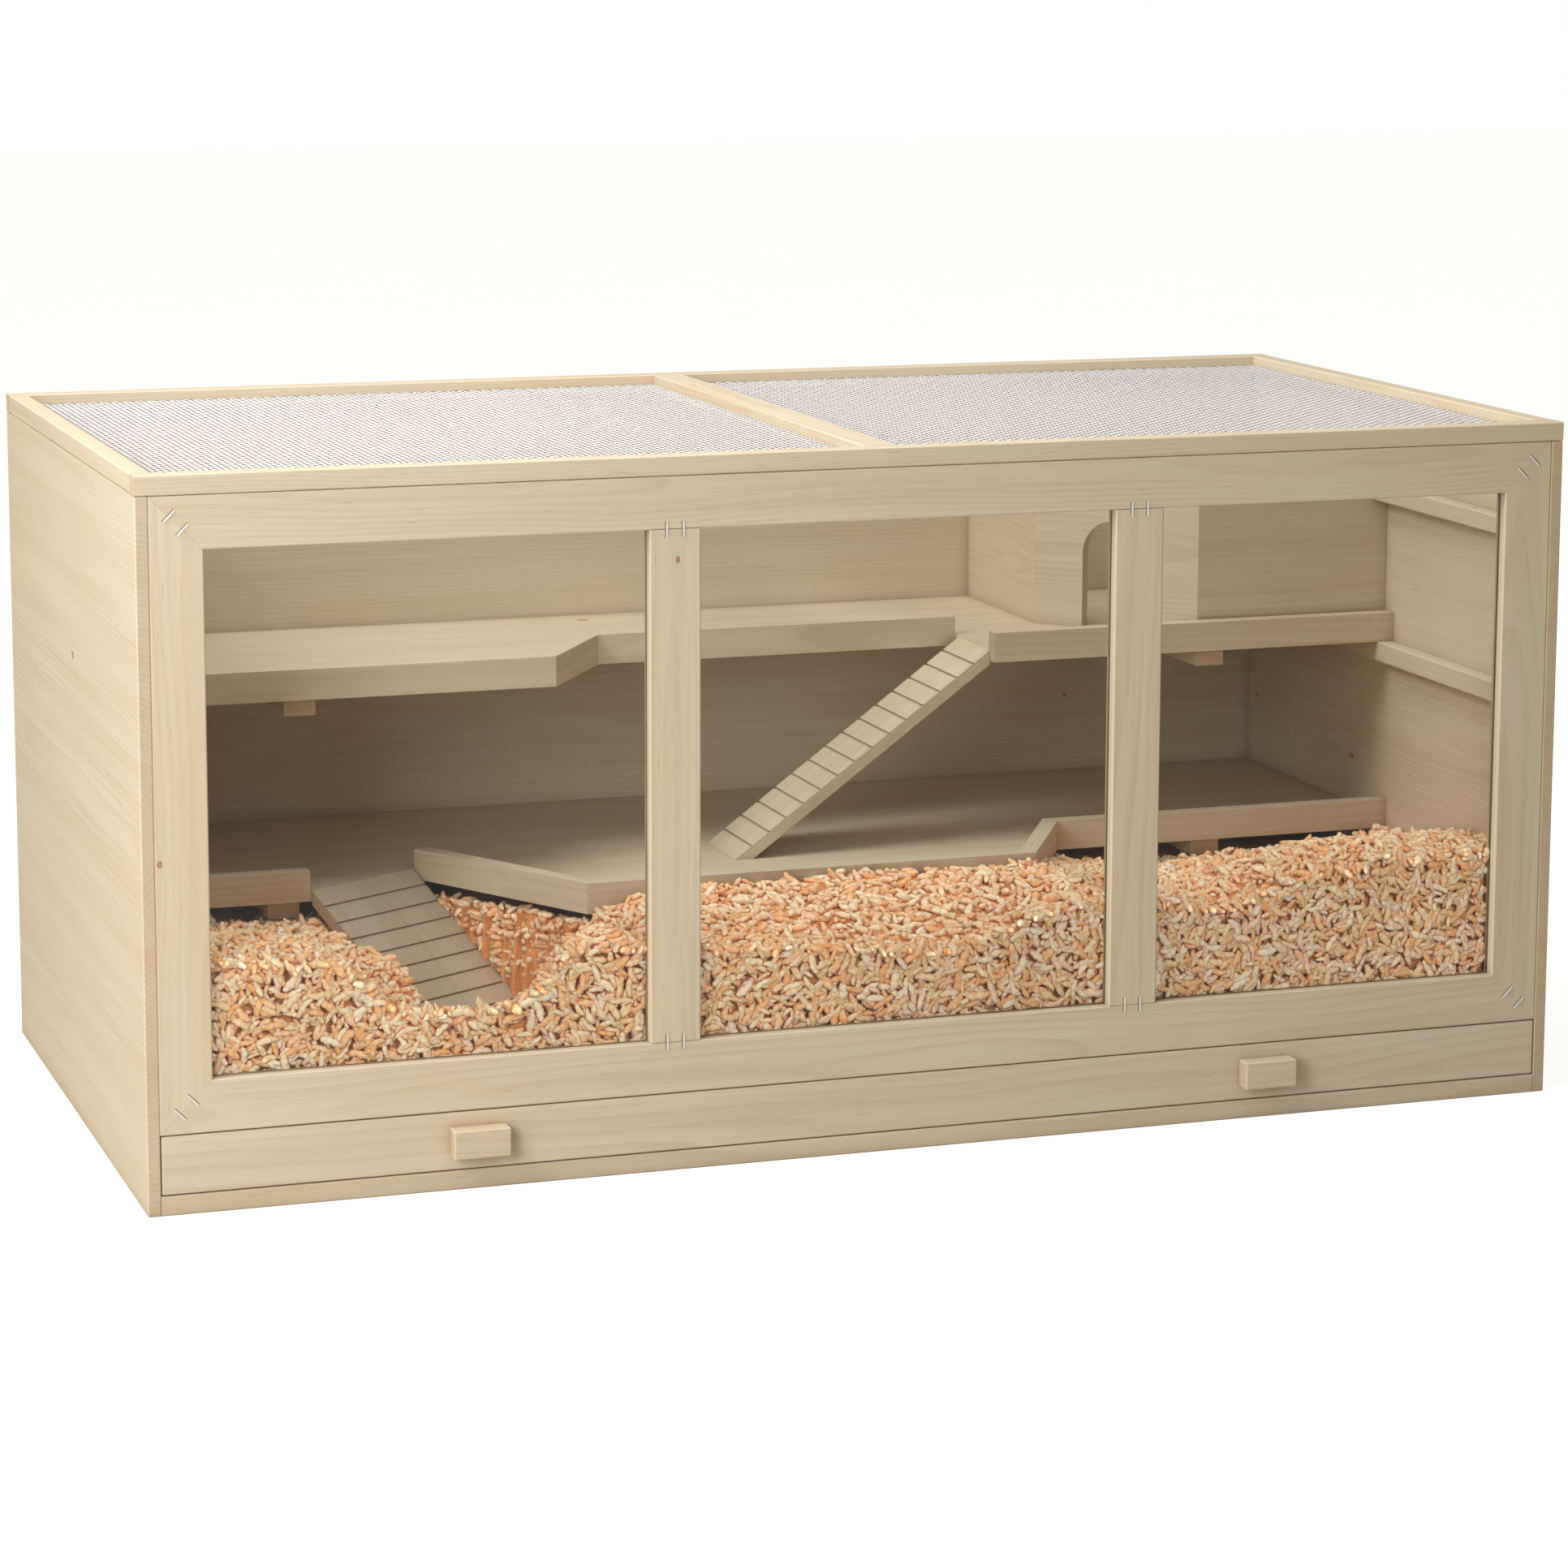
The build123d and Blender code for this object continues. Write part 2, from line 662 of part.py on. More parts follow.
# Ramps
UPPER_RAMP_PLANE = Plane(
    origin=(UPPER_NOTCH_X, UPPER_RAMP_Y, 0), x_dir=(-1, 0, 0), z_dir=(0, 1, 0)
)
LOWER_RAMP_DIR = (math.sin(LOWER_ANGLE), -math.cos(LOWER_ANGLE), 0)
LOWER_RAMP_PLANE = Plane(
    origin=((LOWER_LEFT_X + RAMP_EDGE_X) / 2, (LOWER_SIDE_Y + RAMP_EDGE_Y) / 2, 0),
    x_dir=LOWER_RAMP_DIR,
    z_dir=(LOWER_RAMP_DIR[1], -LOWER_RAMP_DIR[0], 0),
)


def add_ramp(plane, width, start_z, foot_z, grooves):
    """A grooved plank sloping down from the plane's origin along its x axis."""
    with BuildSketch(plane) as side_view:
        with BuildLine():
            Polyline(*ramp_profile(start_z, foot_z), close=True)
        make_face()
    extrude(side_view.sketch, amount=width / 2, both=True)
    with BuildSketch(plane) as cuts:
        for place in groove_places(start_z, foot_z, grooves):
            with Locations(place):
                Rectangle(GROOVE_W, GROOVE_D * 2, rotation=-math.degrees(RAMP_ANGLE))
    extrude(cuts.sketch, amount=width / 2, both=True, mode=Mode.SUBTRACT)


with BuildPart() as upper_ramp:
    add_ramp(UPPER_RAMP_PLANE, UPPER_RAMP_W, UPPER_TOP, LOWER_TOP, UPPER_GROOVES)

with BuildPart() as lower_ramp:
    add_ramp(
        LOWER_RAMP_PLANE, LOWER_RAMP_W, LOWER_TOP, LOWER_RAMP_FOOT_Z, LOWER_GROOVES
    )

# Loose bedding in the cage, with room for the foot of the lower ramp
with BuildPart() as cage_bedding:
    add_box((-HALF_IN, FRAME_BACK_Y, BEDDING_Z0), (HALF_IN, BACK_IN_Y, BEDDING_LOW_Z))
    with BuildSketch(Plane.XZ.offset(-(LOWER_FRONT_Y - SOFT_GAP))):
        with BuildLine():
            Polyline(
                *BEDDING_CREST,
                (HALF_IN, BEDDING_LOW_Z),
                (-HALF_IN, BEDDING_LOW_Z),
                close=True,
            )
        make_face()
    extrude(amount=LOWER_FRONT_Y - SOFT_GAP - FRAME_BACK_Y)
    right_x = LOWER_PATH[3][0] + SOFT_GAP
    left_x = LOWER_LEFT_X - SOFT_GAP
    back_y = LOWER_SIDE_Y - SOFT_GAP
    for x0, x1 in ((-HALF_IN, left_x), (right_x, HALF_IN)):
        low = (x0, LOWER_FRONT_Y - SOFT_GAP, BEDDING_LOW_Z)
        add_box(low, (x1, back_y, BEDDING_SIDE_Z))
    with BuildSketch(LOWER_RAMP_PLANE):
        slope = math.tan(RAMP_ANGLE)
        under = LOWER_TOP - (RAMP_T + RAMP_POCKET) / math.cos(RAMP_ANGLE)
        foot_run = (LOWER_TOP - LOWER_RAMP_FOOT_Z) / slope + RAMP_POCKET
        with BuildLine():
            Polyline(
                (0, LOWER_TOP),
                (foot_run, LOWER_TOP),
                (foot_run, BEDDING_Z0),
                ((under - BEDDING_Z0) / slope, BEDDING_Z0),
                (0, under),
                close=True,
            )
        make_face()
    extrude(amount=LOWER_RAMP_W / 2 + RAMP_POCKET, both=True, mode=Mode.SUBTRACT)

# Drawer
with BuildPart() as drawer_front:
    add_box(
        (-HALF_IN + DRAWER_GAP, FRONT_Y, FLOOR_T + DRAWER_GAP),
        (HALF_IN - DRAWER_GAP, FRONT_Y + DRAWER_FRONT_T, FRAME_Z0 - DRAWER_GAP),
    )
    chamfer(drawer_front.edges(), EASE)

DRAWER_Y0 = FRONT_Y + DRAWER_FRONT_T
DRAWER_IN_X = DRAWER_SIDE_X - DRAWER_WALL_T
DRAWER_IN_Y = DRAWER_BACK_Y - DRAWER_WALL_T

with BuildPart() as drawer_sides:
    for x0, x1 in ((-DRAWER_SIDE_X, -DRAWER_IN_X), (DRAWER_IN_X, DRAWER_SIDE_X)):
        low = (x0, DRAWER_Y0, DRAWER_WALL_Z0)
        add_box(low, (x1, DRAWER_BACK_Y, DRAWER_WALL_Z1))

with BuildPart() as drawer_back:
    add_box(
        (-DRAWER_IN_X, DRAWER_IN_Y, DRAWER_WALL_Z0),
        (DRAWER_IN_X, DRAWER_BACK_Y, DRAWER_WALL_Z1),
    )

with BuildPart() as drawer_bottom:
    add_box(
        (-DRAWER_IN_X, DRAWER_Y0, DRAWER_BOTTOM_Z0),
        (DRAWER_IN_X, DRAWER_IN_Y, DRAWER_BOTTOM_Z0 + DRAWER_BOTTOM_T),
    )

with BuildPart() as drawer_knobs:
    for x in (-KNOB_X, KNOB_X):
        with Locations((x, FRONT_Y - KNOB_SIZE[1] / 2, KNOB_Z)):
            Box(*KNOB_SIZE)
    chamfer(drawer_knobs.edges(), EASE)

with BuildPart() as tray_bedding:
    add_box(
        (-DRAWER_IN_X, DRAWER_Y0, DRAWER_BOTTOM_Z0 + DRAWER_BOTTOM_T),
        (DRAWER_IN_X, DRAWER_IN_Y, TRAY_BEDDING_Z1),
    )

# Lid: a frame with a centre bar, mesh let in from below and held by beads
LID_Z1 = LID_Z0 + LID_T
LID_IN_X = WIDTH / 2 - LID_SIDE_W
LID_IN_Y = REAR_Y - LID_RAIL_W
MESH_SPANS = (
    (-LID_IN_X - LID_REBATE, -LID_BAR_W / 2 + LID_REBATE),
    (LID_BAR_W / 2 - LID_REBATE, LID_IN_X + LID_REBATE),
)
MESH_Y = LID_IN_Y + LID_REBATE


def cut_mesh_rebates():
    """Takes the mesh rebates out of the lid member being built."""
    for x0, x1 in MESH_SPANS:
        add_box((x0, -MESH_Y, LID_Z0), (x1, MESH_Y, MESH_Z1), Mode.SUBTRACT)


with BuildPart() as lid_front_rail:
    add_box((-WIDTH / 2, FRONT_Y, LID_Z0), (WIDTH / 2, -LID_IN_Y, LID_Z1))
    chamfer(lid_front_rail.edges().filter_by(Axis.X), EASE)
    cut_mesh_rebates()

with BuildPart() as lid_back_rail:
    add_box((-WIDTH / 2, LID_IN_Y, LID_Z0), (WIDTH / 2, REAR_Y, LID_Z1))
    chamfer(lid_back_rail.edges().filter_by(Axis.X), EASE)
    cut_mesh_rebates()
    cut_screw_holes(SCREW_UPPER_Z)

with BuildPart() as lid_side_rails:
    for x0, x1 in ((-WIDTH / 2, -LID_IN_X), (LID_IN_X, WIDTH / 2)):
        add_box((x0, -LID_IN_Y, LID_Z0), (x1, LID_IN_Y, LID_Z1))
    chamfer(lid_side_rails.edges().filter_by(Axis.Y), EASE)
    cut_mesh_rebates()

with BuildPart() as lid_centre_bar:
    add_box((-LID_BAR_W / 2, -LID_IN_Y, LID_Z0), (LID_BAR_W / 2, LID_IN_Y, LID_Z1))
    chamfer(lid_centre_bar.edges().filter_by(Axis.Y), EASE)
    cut_mesh_rebates()

with BuildPart() as lid_mesh_left:
    x0, x1 = MESH_SPANS[0]
    add_box((x0, -MESH_Y, MESH_Z1 - MESH_T), (x1, MESH_Y, MESH_Z1))

with BuildPart() as lid_mesh_right:
    x0, x1 = MESH_SPANS[1]
    add_box((x0, -MESH_Y, MESH_Z1 - MESH_T), (x1, MESH_Y, MESH_Z1))

with BuildPart() as lid_mesh_beads:
    bead_z0 = LID_Z0 + BEAD_GAP
    bead_z1 = MESH_Z1 - MESH_T
    for x0, x1 in MESH_SPANS:
        for y0, y1 in ((-MESH_Y, -LID_IN_Y), (LID_IN_Y, MESH_Y)):
            add_box((x0, y0, bead_z0), (x1, y1, bead_z1))
        for s0, s1 in ((x0, x0 + LID_REBATE), (x1 - LID_REBATE, x1)):
            add_box((s0, -LID_IN_Y + BEAD_GAP, bead_z0), (s1, LID_IN_Y - BEAD_GAP, bead_z1))

os.makedirs("parts", exist_ok=True)
NODES = {
    "left_side_panel": left_side_panel,
    "right_side_panel": right_side_panel,
    "back_panel": back_panel,
    "floor_board": floor_board,
    "front_top_rail": front_top_rail,
    "front_bottom_rail": front_bottom_rail,
    "front_left_stile": front_left_stile,
    "front_right_stile": front_right_stile,
    "mullion_left": mullion_left,
    "mullion_right": mullion_right,
    "frame_staples": frame_staples,
    "pane_left": pane_left,
    "pane_middle": pane_middle,
    "pane_right": pane_right,
    "upper_battens": upper_battens,
    "lower_battens": lower_battens,
    "top_batten": top_batten,
    "upper_bearers": upper_bearers,
    "lower_bearers": lower_bearers,
    "upper_shelf": upper_shelf,
    "upper_fascia_left": upper_fascia_left,
    "upper_fascia_chamfer": upper_fascia_chamfer,
    "upper_fascia_middle": upper_fascia_middle,
    "upper_fascia_right": upper_fascia_right,
    "lower_shelf": lower_shelf,
    "lower_fascia_left": lower_fascia_left,
    "lower_fascia_diagonal_left": lower_fascia_diagonal_left,
    "lower_fascia_front": lower_fascia_front,
    "lower_fascia_diagonal_right": lower_fascia_diagonal_right,
    "lower_fascia_right": lower_fascia_right,
    "hut_left_wall": hut_left_wall,
    "hut_door_wall": hut_door_wall,
    "hut_front_wall": hut_front_wall,
    "upper_ramp": upper_ramp,
    "lower_ramp": lower_ramp,
    "cage_bedding": cage_bedding,
    "drawer_front": drawer_front,
    "drawer_sides": drawer_sides,
    "drawer_back": drawer_back,
    "drawer_bottom": drawer_bottom,
    "drawer_knobs": drawer_knobs,
    "tray_bedding": tray_bedding,
    "lid_front_rail": lid_front_rail,
    "lid_back_rail": lid_back_rail,
    "lid_side_rails": lid_side_rails,
    "lid_centre_bar": lid_centre_bar,
    "lid_mesh_left": lid_mesh_left,
    "lid_mesh_right": lid_mesh_right,
    "lid_mesh_beads": lid_mesh_beads,
    "hinge_lower_leaves": hinge_lower_leaves,
    "hinge_upper_leaves": hinge_upper_leaves,
    "hinge_pins": hinge_pins,
    "hinge_screws_lower": hinge_screws_lower,
    "hinge_screws_upper": hinge_screws_upper,
}
for name, piece in NODES.items():
    piece.part.label = name
    export_step(piece.part, f"parts/{name}.step")
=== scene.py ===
import json
import math
import random

import bpy
import numpy as np
from mathutils import Matrix, Vector, noise

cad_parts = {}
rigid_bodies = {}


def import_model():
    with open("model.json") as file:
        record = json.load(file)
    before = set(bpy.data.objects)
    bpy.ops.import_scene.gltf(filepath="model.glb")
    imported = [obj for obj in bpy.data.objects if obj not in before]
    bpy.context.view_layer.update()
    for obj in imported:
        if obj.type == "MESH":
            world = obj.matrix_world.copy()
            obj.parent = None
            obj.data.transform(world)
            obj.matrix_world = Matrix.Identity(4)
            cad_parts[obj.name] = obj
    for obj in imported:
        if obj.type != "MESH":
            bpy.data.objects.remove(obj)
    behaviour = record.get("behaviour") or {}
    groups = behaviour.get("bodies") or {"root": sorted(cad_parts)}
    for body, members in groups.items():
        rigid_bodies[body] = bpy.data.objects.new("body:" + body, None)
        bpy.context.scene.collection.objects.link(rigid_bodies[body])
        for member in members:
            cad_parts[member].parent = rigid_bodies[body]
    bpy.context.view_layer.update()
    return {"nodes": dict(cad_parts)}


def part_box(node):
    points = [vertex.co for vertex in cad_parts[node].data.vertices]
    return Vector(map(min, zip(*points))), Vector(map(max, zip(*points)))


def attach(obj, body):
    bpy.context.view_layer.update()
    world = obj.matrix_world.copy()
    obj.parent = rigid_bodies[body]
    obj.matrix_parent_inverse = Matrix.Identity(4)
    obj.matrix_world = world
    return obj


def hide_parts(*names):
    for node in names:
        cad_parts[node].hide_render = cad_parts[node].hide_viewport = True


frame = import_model()
MM = 0.001
X, Y, Z = Vector((1, 0, 0)), Vector((0, 1, 0)), Vector((0, 0, 1))


# ---------------------------------------------------------------- node helpers
class Shade:
    """Short-hand for building one material's node tree."""

    def __init__(self, name):
        self.material = bpy.data.materials.new(name)
        self.material.use_nodes = True
        self.tree = self.material.node_tree
        self.tree.nodes.clear()

    def node(self, kind, inputs=None, **settings):
        made = self.tree.nodes.new("ShaderNode" + kind)
        for key, value in settings.items():
            setattr(made, key, value)
        for key, value in (inputs or {}).items():
            self.feed(made.inputs[key], value)
        return made

    def feed(self, socket, value):
        if isinstance(value, bpy.types.NodeSocket):
            self.tree.links.new(value, socket)
        else:
            socket.default_value = value

    def math(self, operation, *values, clamp=False):
        made = self.node("Math", operation=operation, use_clamp=clamp)
        for socket, value in zip(made.inputs, values):
            self.feed(socket, value)
        return made.outputs[0]

    def vector(self, operation, *values, out="Vector"):
        made = self.node("VectorMath", operation=operation)
        for socket, value in zip(made.inputs, values):
            self.feed(socket, value)
        return made.outputs[out]

    def fit(self, value, a0, a1, b0, b1, smooth=False):
        kind = "SMOOTHSTEP" if smooth else "LINEAR"
        made = self.node("MapRange", interpolation_type=kind)
        for socket, number in zip(made.inputs, (value, a0, a1, b0, b1)):
            self.feed(socket, number)
        return made.outputs[0]

    def noise(self, vector, scale, detail=2.0, roughness=0.5, out="Fac"):
        inputs = {"Vector": vector, "Scale": scale, "Detail": detail, "Roughness": roughness}
        return self.node("TexNoise", inputs).outputs[out]

    def mix(self, factor, first, second, blend="MIX"):
        made = self.node("Mix", data_type="RGBA", blend_type=blend)
        self.feed(made.inputs[0], factor)
        self.feed(made.inputs[6], first)
        self.feed(made.inputs[7], second)
        return made.outputs[2]

    def ramp(self, factor, *stops):
        made = self.node("ValToRGB", {"Fac": factor})
        band = made.color_ramp
        while len(band.elements) < len(stops):
            band.elements.new(0.5)
        for element, (place, value) in zip(band.elements, stops):
            element.position = place
            element.color = (value, value, value, 1)
        return made.outputs[0]

    def finish(self, colour, roughness, normal=None, **constants):
        inputs = {"Base Color": colour, "Roughness": roughness}
        if normal is not None:
            inputs["Normal"] = normal
        for key, value in constants.items():
            inputs[key.replace("_", " ")] = value
        shader = self.node("BsdfPrincipled", inputs)
        self.node("OutputMaterial", {"Surface": shader.outputs[0]})
        return self.material


def srgb(red, green, blue):
    """A linear colour from 8-bit display values."""
    values = [v / 255 for v in (red, green, blue)]
    return tuple(v / 12.92 if v < 0.04 else ((v + 0.055) / 1.055) ** 2.4 for v in values) + (1,)


# ---------------------------------------------------------------- materials
EARLY_WOOD = srgb(218, 206, 182)
LATE_WOOD = srgb(197, 175, 139)
KNOT = srgb(196, 138, 78)
KNOT_RIM = srgb(146, 98, 54)


def wood(name, centre, grain, face, seed, light=EARLY_WOOD, dark=LATE_WOOD, knot=7.0):
    """Softwood cut from a log: growth rings round a pith that runs along the grain, fibres, resin
    flecks, knots, darker end grain, edges lightened as wear and as a painted highlight, and
    painted shade in seams and inner corners. knot is the largest in mm."""
    rng = random.Random(seed)
    sh = Shade("wood_" + name)
    across = face.cross(grain)
    turn = Matrix((grain, across, face))
    coords = sh.node("TexCoord")
    mapping = {
        "Vector": coords.outputs["Object"],
        "Location": -(turn @ centre),
        "Rotation": turn.to_euler(),
    }
    local = sh.node("Mapping", mapping).outputs[0]
    shift = tuple(rng.uniform(-20, 20) for _ in range(3))
    moved = sh.vector("ADD", local, shift)

    # Knots run through the board; each cell of the pattern has one or none
    flat = sh.vector("MULTIPLY", moved, (0.72, 1, 0))
    cells = sh.node("TexVoronoi", {"Vector": flat, "Scale": 6.5}, voronoi_dimensions="2D")
    distance = sh.math("DIVIDE", cells.outputs["Distance"], 6.5)
    wobble = sh.noise(moved, 160, 2)
    distance = sh.math("ADD", distance, sh.fit(wobble, 0, 1, -0.0018, 0.0018))
    pick = sh.node("SeparateColor", {"Color": cells.outputs["Color"]}).outputs[0]
    radius = sh.fit(pick, 0.70, 1, 0, knot * MM)
    inside = sh.math("SUBTRACT", radius, distance)
    is_knot = sh.math("GREATER_THAN", radius, 0.0012)
    knot_mask = sh.math("MULTIPLY", sh.fit(inside, -0.0003, 0.0006, 0, 1, True), is_knot)
    rim_mask = sh.math("MULTIPLY", sh.fit(inside, 0.0002, 0.0016, 1, 0, True), knot_mask)
    reach = sh.math("MULTIPLY", radius, 5)
    swirl = sh.math("MULTIPLY", sh.fit(distance, 0, reach, 2.6, 0, True), is_knot)

    # Growth rings round the pith, wandering along the board
    slow = sh.vector("MULTIPLY", moved, (1.7, 9, 9))
    wander = sh.vector("SUBTRACT", sh.noise(slow, 1, 2, out="Color"), (0.5, 0.5, 0.5))
    wander = sh.vector("MULTIPLY", wander, (0, 0.030, 0.030))
    pith = (0, rng.uniform(-25, 25) * MM, rng.choice((-1, 1)) * rng.uniform(30, 62) * MM)
    from_pith = sh.vector("SUBTRACT", sh.vector("ADD", local, wander), pith)
    from_pith = sh.vector("MULTIPLY", from_pith, (0, 1, 1))
    ring_width = rng.uniform(2.6, 4.2) * MM
    rings = sh.math("DIVIDE", sh.vector("LENGTH", from_pith, out="Value"), ring_width)
    rings = sh.math("ADD", rings, swirl)
    profile = sh.ramp(sh.math("FRACT", rings), (0, 0), (0.45, 0.12), (0.8, 0.8), (0.9, 1), (1, 0))
    strength = sh.fit(sh.noise(slow, 2.3, 1), 0.3, 0.7, 0.35, 0.95)
    profile = sh.math("MULTIPLY", profile, strength)

    # Fibres and short resin flecks along the grain
    fibres = sh.noise(sh.vector("MULTIPLY", moved, (7, 420, 420)), 1, 3, 0.65)
    broad = sh.noise(sh.vector("MULTIPLY", moved, (2.2, 55, 55)), 1, 2)
    flecks = sh.noise(sh.vector("MULTIPLY", moved, (40, 900, 900)), 1, 1)
    flecks = sh.fit(flecks, 0.70, 0.80, 0, 1, True)
    blotch = sh.noise(moved, 5, 2)

    amount = sh.math("MULTIPLY_ADD", profile, 0.40, sh.fit(fibres, 0.3, 0.75, 0, 0.26))
    amount = sh.math("ADD", amount, sh.fit(broad, 0.35, 0.7, -0.06, 0.24), clamp=True)
    colour = sh.mix(amount, light, dark)
    warm = sh.fit(blotch, 0.35, 0.7, 0, 0.14)
    colour = sh.mix(warm, colour, srgb(226, 184, 132))
    colour = sh.mix(sh.math("MULTIPLY", flecks, 0.38), colour, srgb(150, 98, 56))

    knot_rings = sh.math("FRACT", sh.math("MULTIPLY", distance, 900))
    knot_colour = sh.mix(sh.math("MULTIPLY", knot_rings, 0.5), KNOT, KNOT_RIM)
    colour = sh.mix(sh.math("MULTIPLY", knot_mask, 0.85), colour, knot_colour)
    colour = sh.mix(sh.math("MULTIPLY", rim_mask, 0.6), colour, KNOT_RIM)

    # End grain is darker and rougher
    facing = sh.vector("DOT_PRODUCT", coords.outputs["Normal"], tuple(grain), out="Value")
    end = sh.fit(sh.math("ABSOLUTE", facing), 0.75, 0.95, 0, 1)
    shade = sh.mix(1.0, colour, srgb(205, 178, 150), "MULTIPLY")
    colour = sh.mix(sh.math("MULTIPLY", end, 0.3), colour, shade)

    # Edges are eased, and lightened with noise: partly rubbed wear, partly a painted highlight
    # where edges catch the light
    soft = sh.node("Bevel", {"Radius": 0.9 * MM}, samples=4).outputs[0]
    true = sh.node("NewGeometry").outputs["True Normal"]
    edge = sh.fit(sh.vector("DOT_PRODUCT", soft, true, out="Value"), 0.80, 0.995, 1, 0)
    rub_and_highlight = sh.math("MULTIPLY", edge, sh.fit(sh.noise(moved, 45, 2), 0.35, 0.65, 0.15, 0.75))
    colour = sh.mix(sh.math("MULTIPLY", rub_and_highlight, 0.42), colour, srgb(250, 236, 210))

    # Seams and inner corners are darkened by occlusion: painted shade
    open_sky = sh.node("AmbientOcclusion", {"Distance": 14 * MM}, samples=4).outputs["AO"]
    painted_crevice_shade = sh.fit(open_sky, 0.25, 0.85, 0.5, 0)
    colour = sh.mix(painted_crevice_shade, colour, srgb(150, 120, 84))

    rough = sh.fit(fibres, 0.3, 0.7, 0.50, 0.66)
    rough = sh.math("MULTIPLY_ADD", end, 0.14, rough)
    rough = sh.math("MULTIPLY_ADD", knot_mask, -0.14, rough)
    height = sh.math("MULTIPLY_ADD", profile, 0.35, fibres)
    height = sh.math("MULTIPLY_ADD", flecks, -0.6, height)
    bump = {"Strength": 0.35, "Distance": 0.22 * MM, "Height": height, "Normal": soft}
    normal = sh.node("Bump", bump).outputs[0]
    return sh.finish(colour, rough, normal, Specular_IOR_Level=0.35)


def metal(name, base, rough, metallic):
    """Plated steel with fine scratches and dull patches."""
    sh = Shade(name)
    place = sh.node("TexCoord").outputs["Object"]
    scratch = sh.noise(sh.vector("MULTIPLY", place, (300, 2600, 2600)), 1, 2)
    patch = sh.noise(place, 140, 3)
    worn = sh.fit(sh.math("MULTIPLY_ADD", patch, 0.6, scratch), 0.5, 1.1, 0, 1)
    colour = sh.mix(sh.math("MULTIPLY", worn, 0.35), base, srgb(120, 116, 110))
    roughness = sh.fit(worn, 0, 1, rough - 0.1, rough + 0.16)
    soft = sh.node("Bevel", {"Radius": 0.3 * MM}, samples=4).outputs[0]
    bump = {"Strength": 0.25, "Distance": 0.05 * MM, "Height": scratch, "Normal": soft}
    normal = sh.node("Bump", bump).outputs[0]
    return sh.finish(colour, roughness, normal, Metallic=metallic)


def acrylic():
    """A clear window pane that mirrors a little at a slant."""
    sh = Shade("clear_acrylic")
    place = sh.node("TexCoord").outputs["Object"]
    smear = sh.noise(sh.vector("MULTIPLY", place, (9, 9, 3)), 1, 3)
    rough = sh.fit(smear, 0.35, 0.7, 0.02, 0.09)
    clear = sh.node("BsdfTransparent", {"Color": (0.972, 0.982, 0.978, 1)})
    gloss = sh.node("BsdfGlossy", {"Color": (0.9, 0.92, 0.93, 1), "Roughness": rough})
    slant = sh.node("Fresnel", {"IOR": 1.45}).outputs[0]
    amount = sh.math("MULTIPLY", slant, sh.fit(smear, 0.3, 0.7, 0.55, 0.8))
    both = {0: amount, 1: clear.outputs[0], 2: gloss.outputs[0]}
    surface = sh.node("MixShader", both).outputs[0]
    sh.node("OutputMaterial", {"Surface": surface})
    return sh.material


def crumb(name, pale, deep, island):
    """Dry granules: mottled, matt, each one its own shade where island is set, with painted shade
    in the crevices between them.
    """
    sh = Shade(name)
    place = sh.node("TexCoord").outputs["Object"]
    mottle = sh.noise(place, 260, 3, 0.6)
    if island:
        vary = sh.node("NewGeometry").outputs["Random Per Island"]
    else:
        cells = sh.node("TexVoronoi", {"Vector": place, "Scale": 120})
        vary = sh.node("SeparateColor", {"Color": cells.outputs["Color"]}).outputs[0]
    amount = sh.math("MULTIPLY_ADD", vary, 0.8, sh.fit(mottle, 0.3, 0.7, -0.2, 0.4), clamp=True)
    colour = sh.mix(amount, pale, deep)
    pits = sh.fit(sh.noise(place, 700, 2), 0.60, 0.72, 0, 0.5, True)
    colour = sh.mix(pits, colour, srgb(176, 112, 62))
    # Crevices between grains are tinted dark orange by occlusion: painted shade
    occlusion = {"Distance": 5 * MM}
    open_sky = sh.node("AmbientOcclusion", occlusion, samples=4, only_local=True).outputs["AO"]
    painted_gap_shade = sh.fit(open_sky, 0.2, 0.85, 0.9, 0)
    colour = sh.mix(painted_gap_shade, colour, srgb(200, 108, 52))
    rough = sh.fit(mottle, 0.3, 0.7, 0.74, 0.92)
    height = sh.math("MULTIPLY_ADD", pits, -0.7, mottle)
    normal = sh.node("Bump", {"Strength": 0.6, "Distance": 0.9 * MM, "Height": height}).outputs[0]
    # Light soaks a few millimetres into the crumbs
    soak = {"Subsurface_Weight": 0.25, "Subsurface_Scale": 5 * MM}
    soak["Subsurface_Radius"] = (1.0, 0.6, 0.35)
    return sh.finish(colour, rough, normal, Specular_IOR_Level=0.2, **soak)


STEEL = metal("plated_steel", srgb(196, 194, 188), 0.36, 0.9)
STAPLE_WIRE = metal("staple_wire", srgb(254, 254, 252), 0.34, 0.0)
MESH_WIRE = metal("mesh_wire", srgb(246, 246, 248), 0.46, 0.05)
PANE = acrylic()
GRANULES = crumb("bedding_granules", srgb(255, 238, 208), srgb(243, 176, 114), True)
# The bed under the grains is darker and more orange than the grains: painted shade that shows in
# the gaps between them
BED = crumb("bedding_bed", srgb(226, 156, 98), srgb(206, 130, 76), False)


# ---------------------------------------------------------------- CAD nodes that stay
DOWN_RIGHT = Vector((0.5, -math.sqrt(0.75), 0))
UP_RIGHT = Vector((0.5, math.sqrt(0.75), 0))
RAMP_EDGE = Vector((math.sqrt(0.75), 0.5, 0))
CHAMFER_DIR = Vector((62, 93, 0)).normalized()
DOOR_DIR = Vector((102.5, -117, 0)).normalized()
RAMP_TILT = math.radians(36.2)


def sloping(along):
    """Grain and face directions of a plank that slopes down along a level direction."""
    grain = along * math.cos(RAMP_TILT) - Z * math.sin(RAMP_TILT)
    face = along * math.sin(RAMP_TILT) + Z * math.cos(RAMP_TILT)
    return grain, face


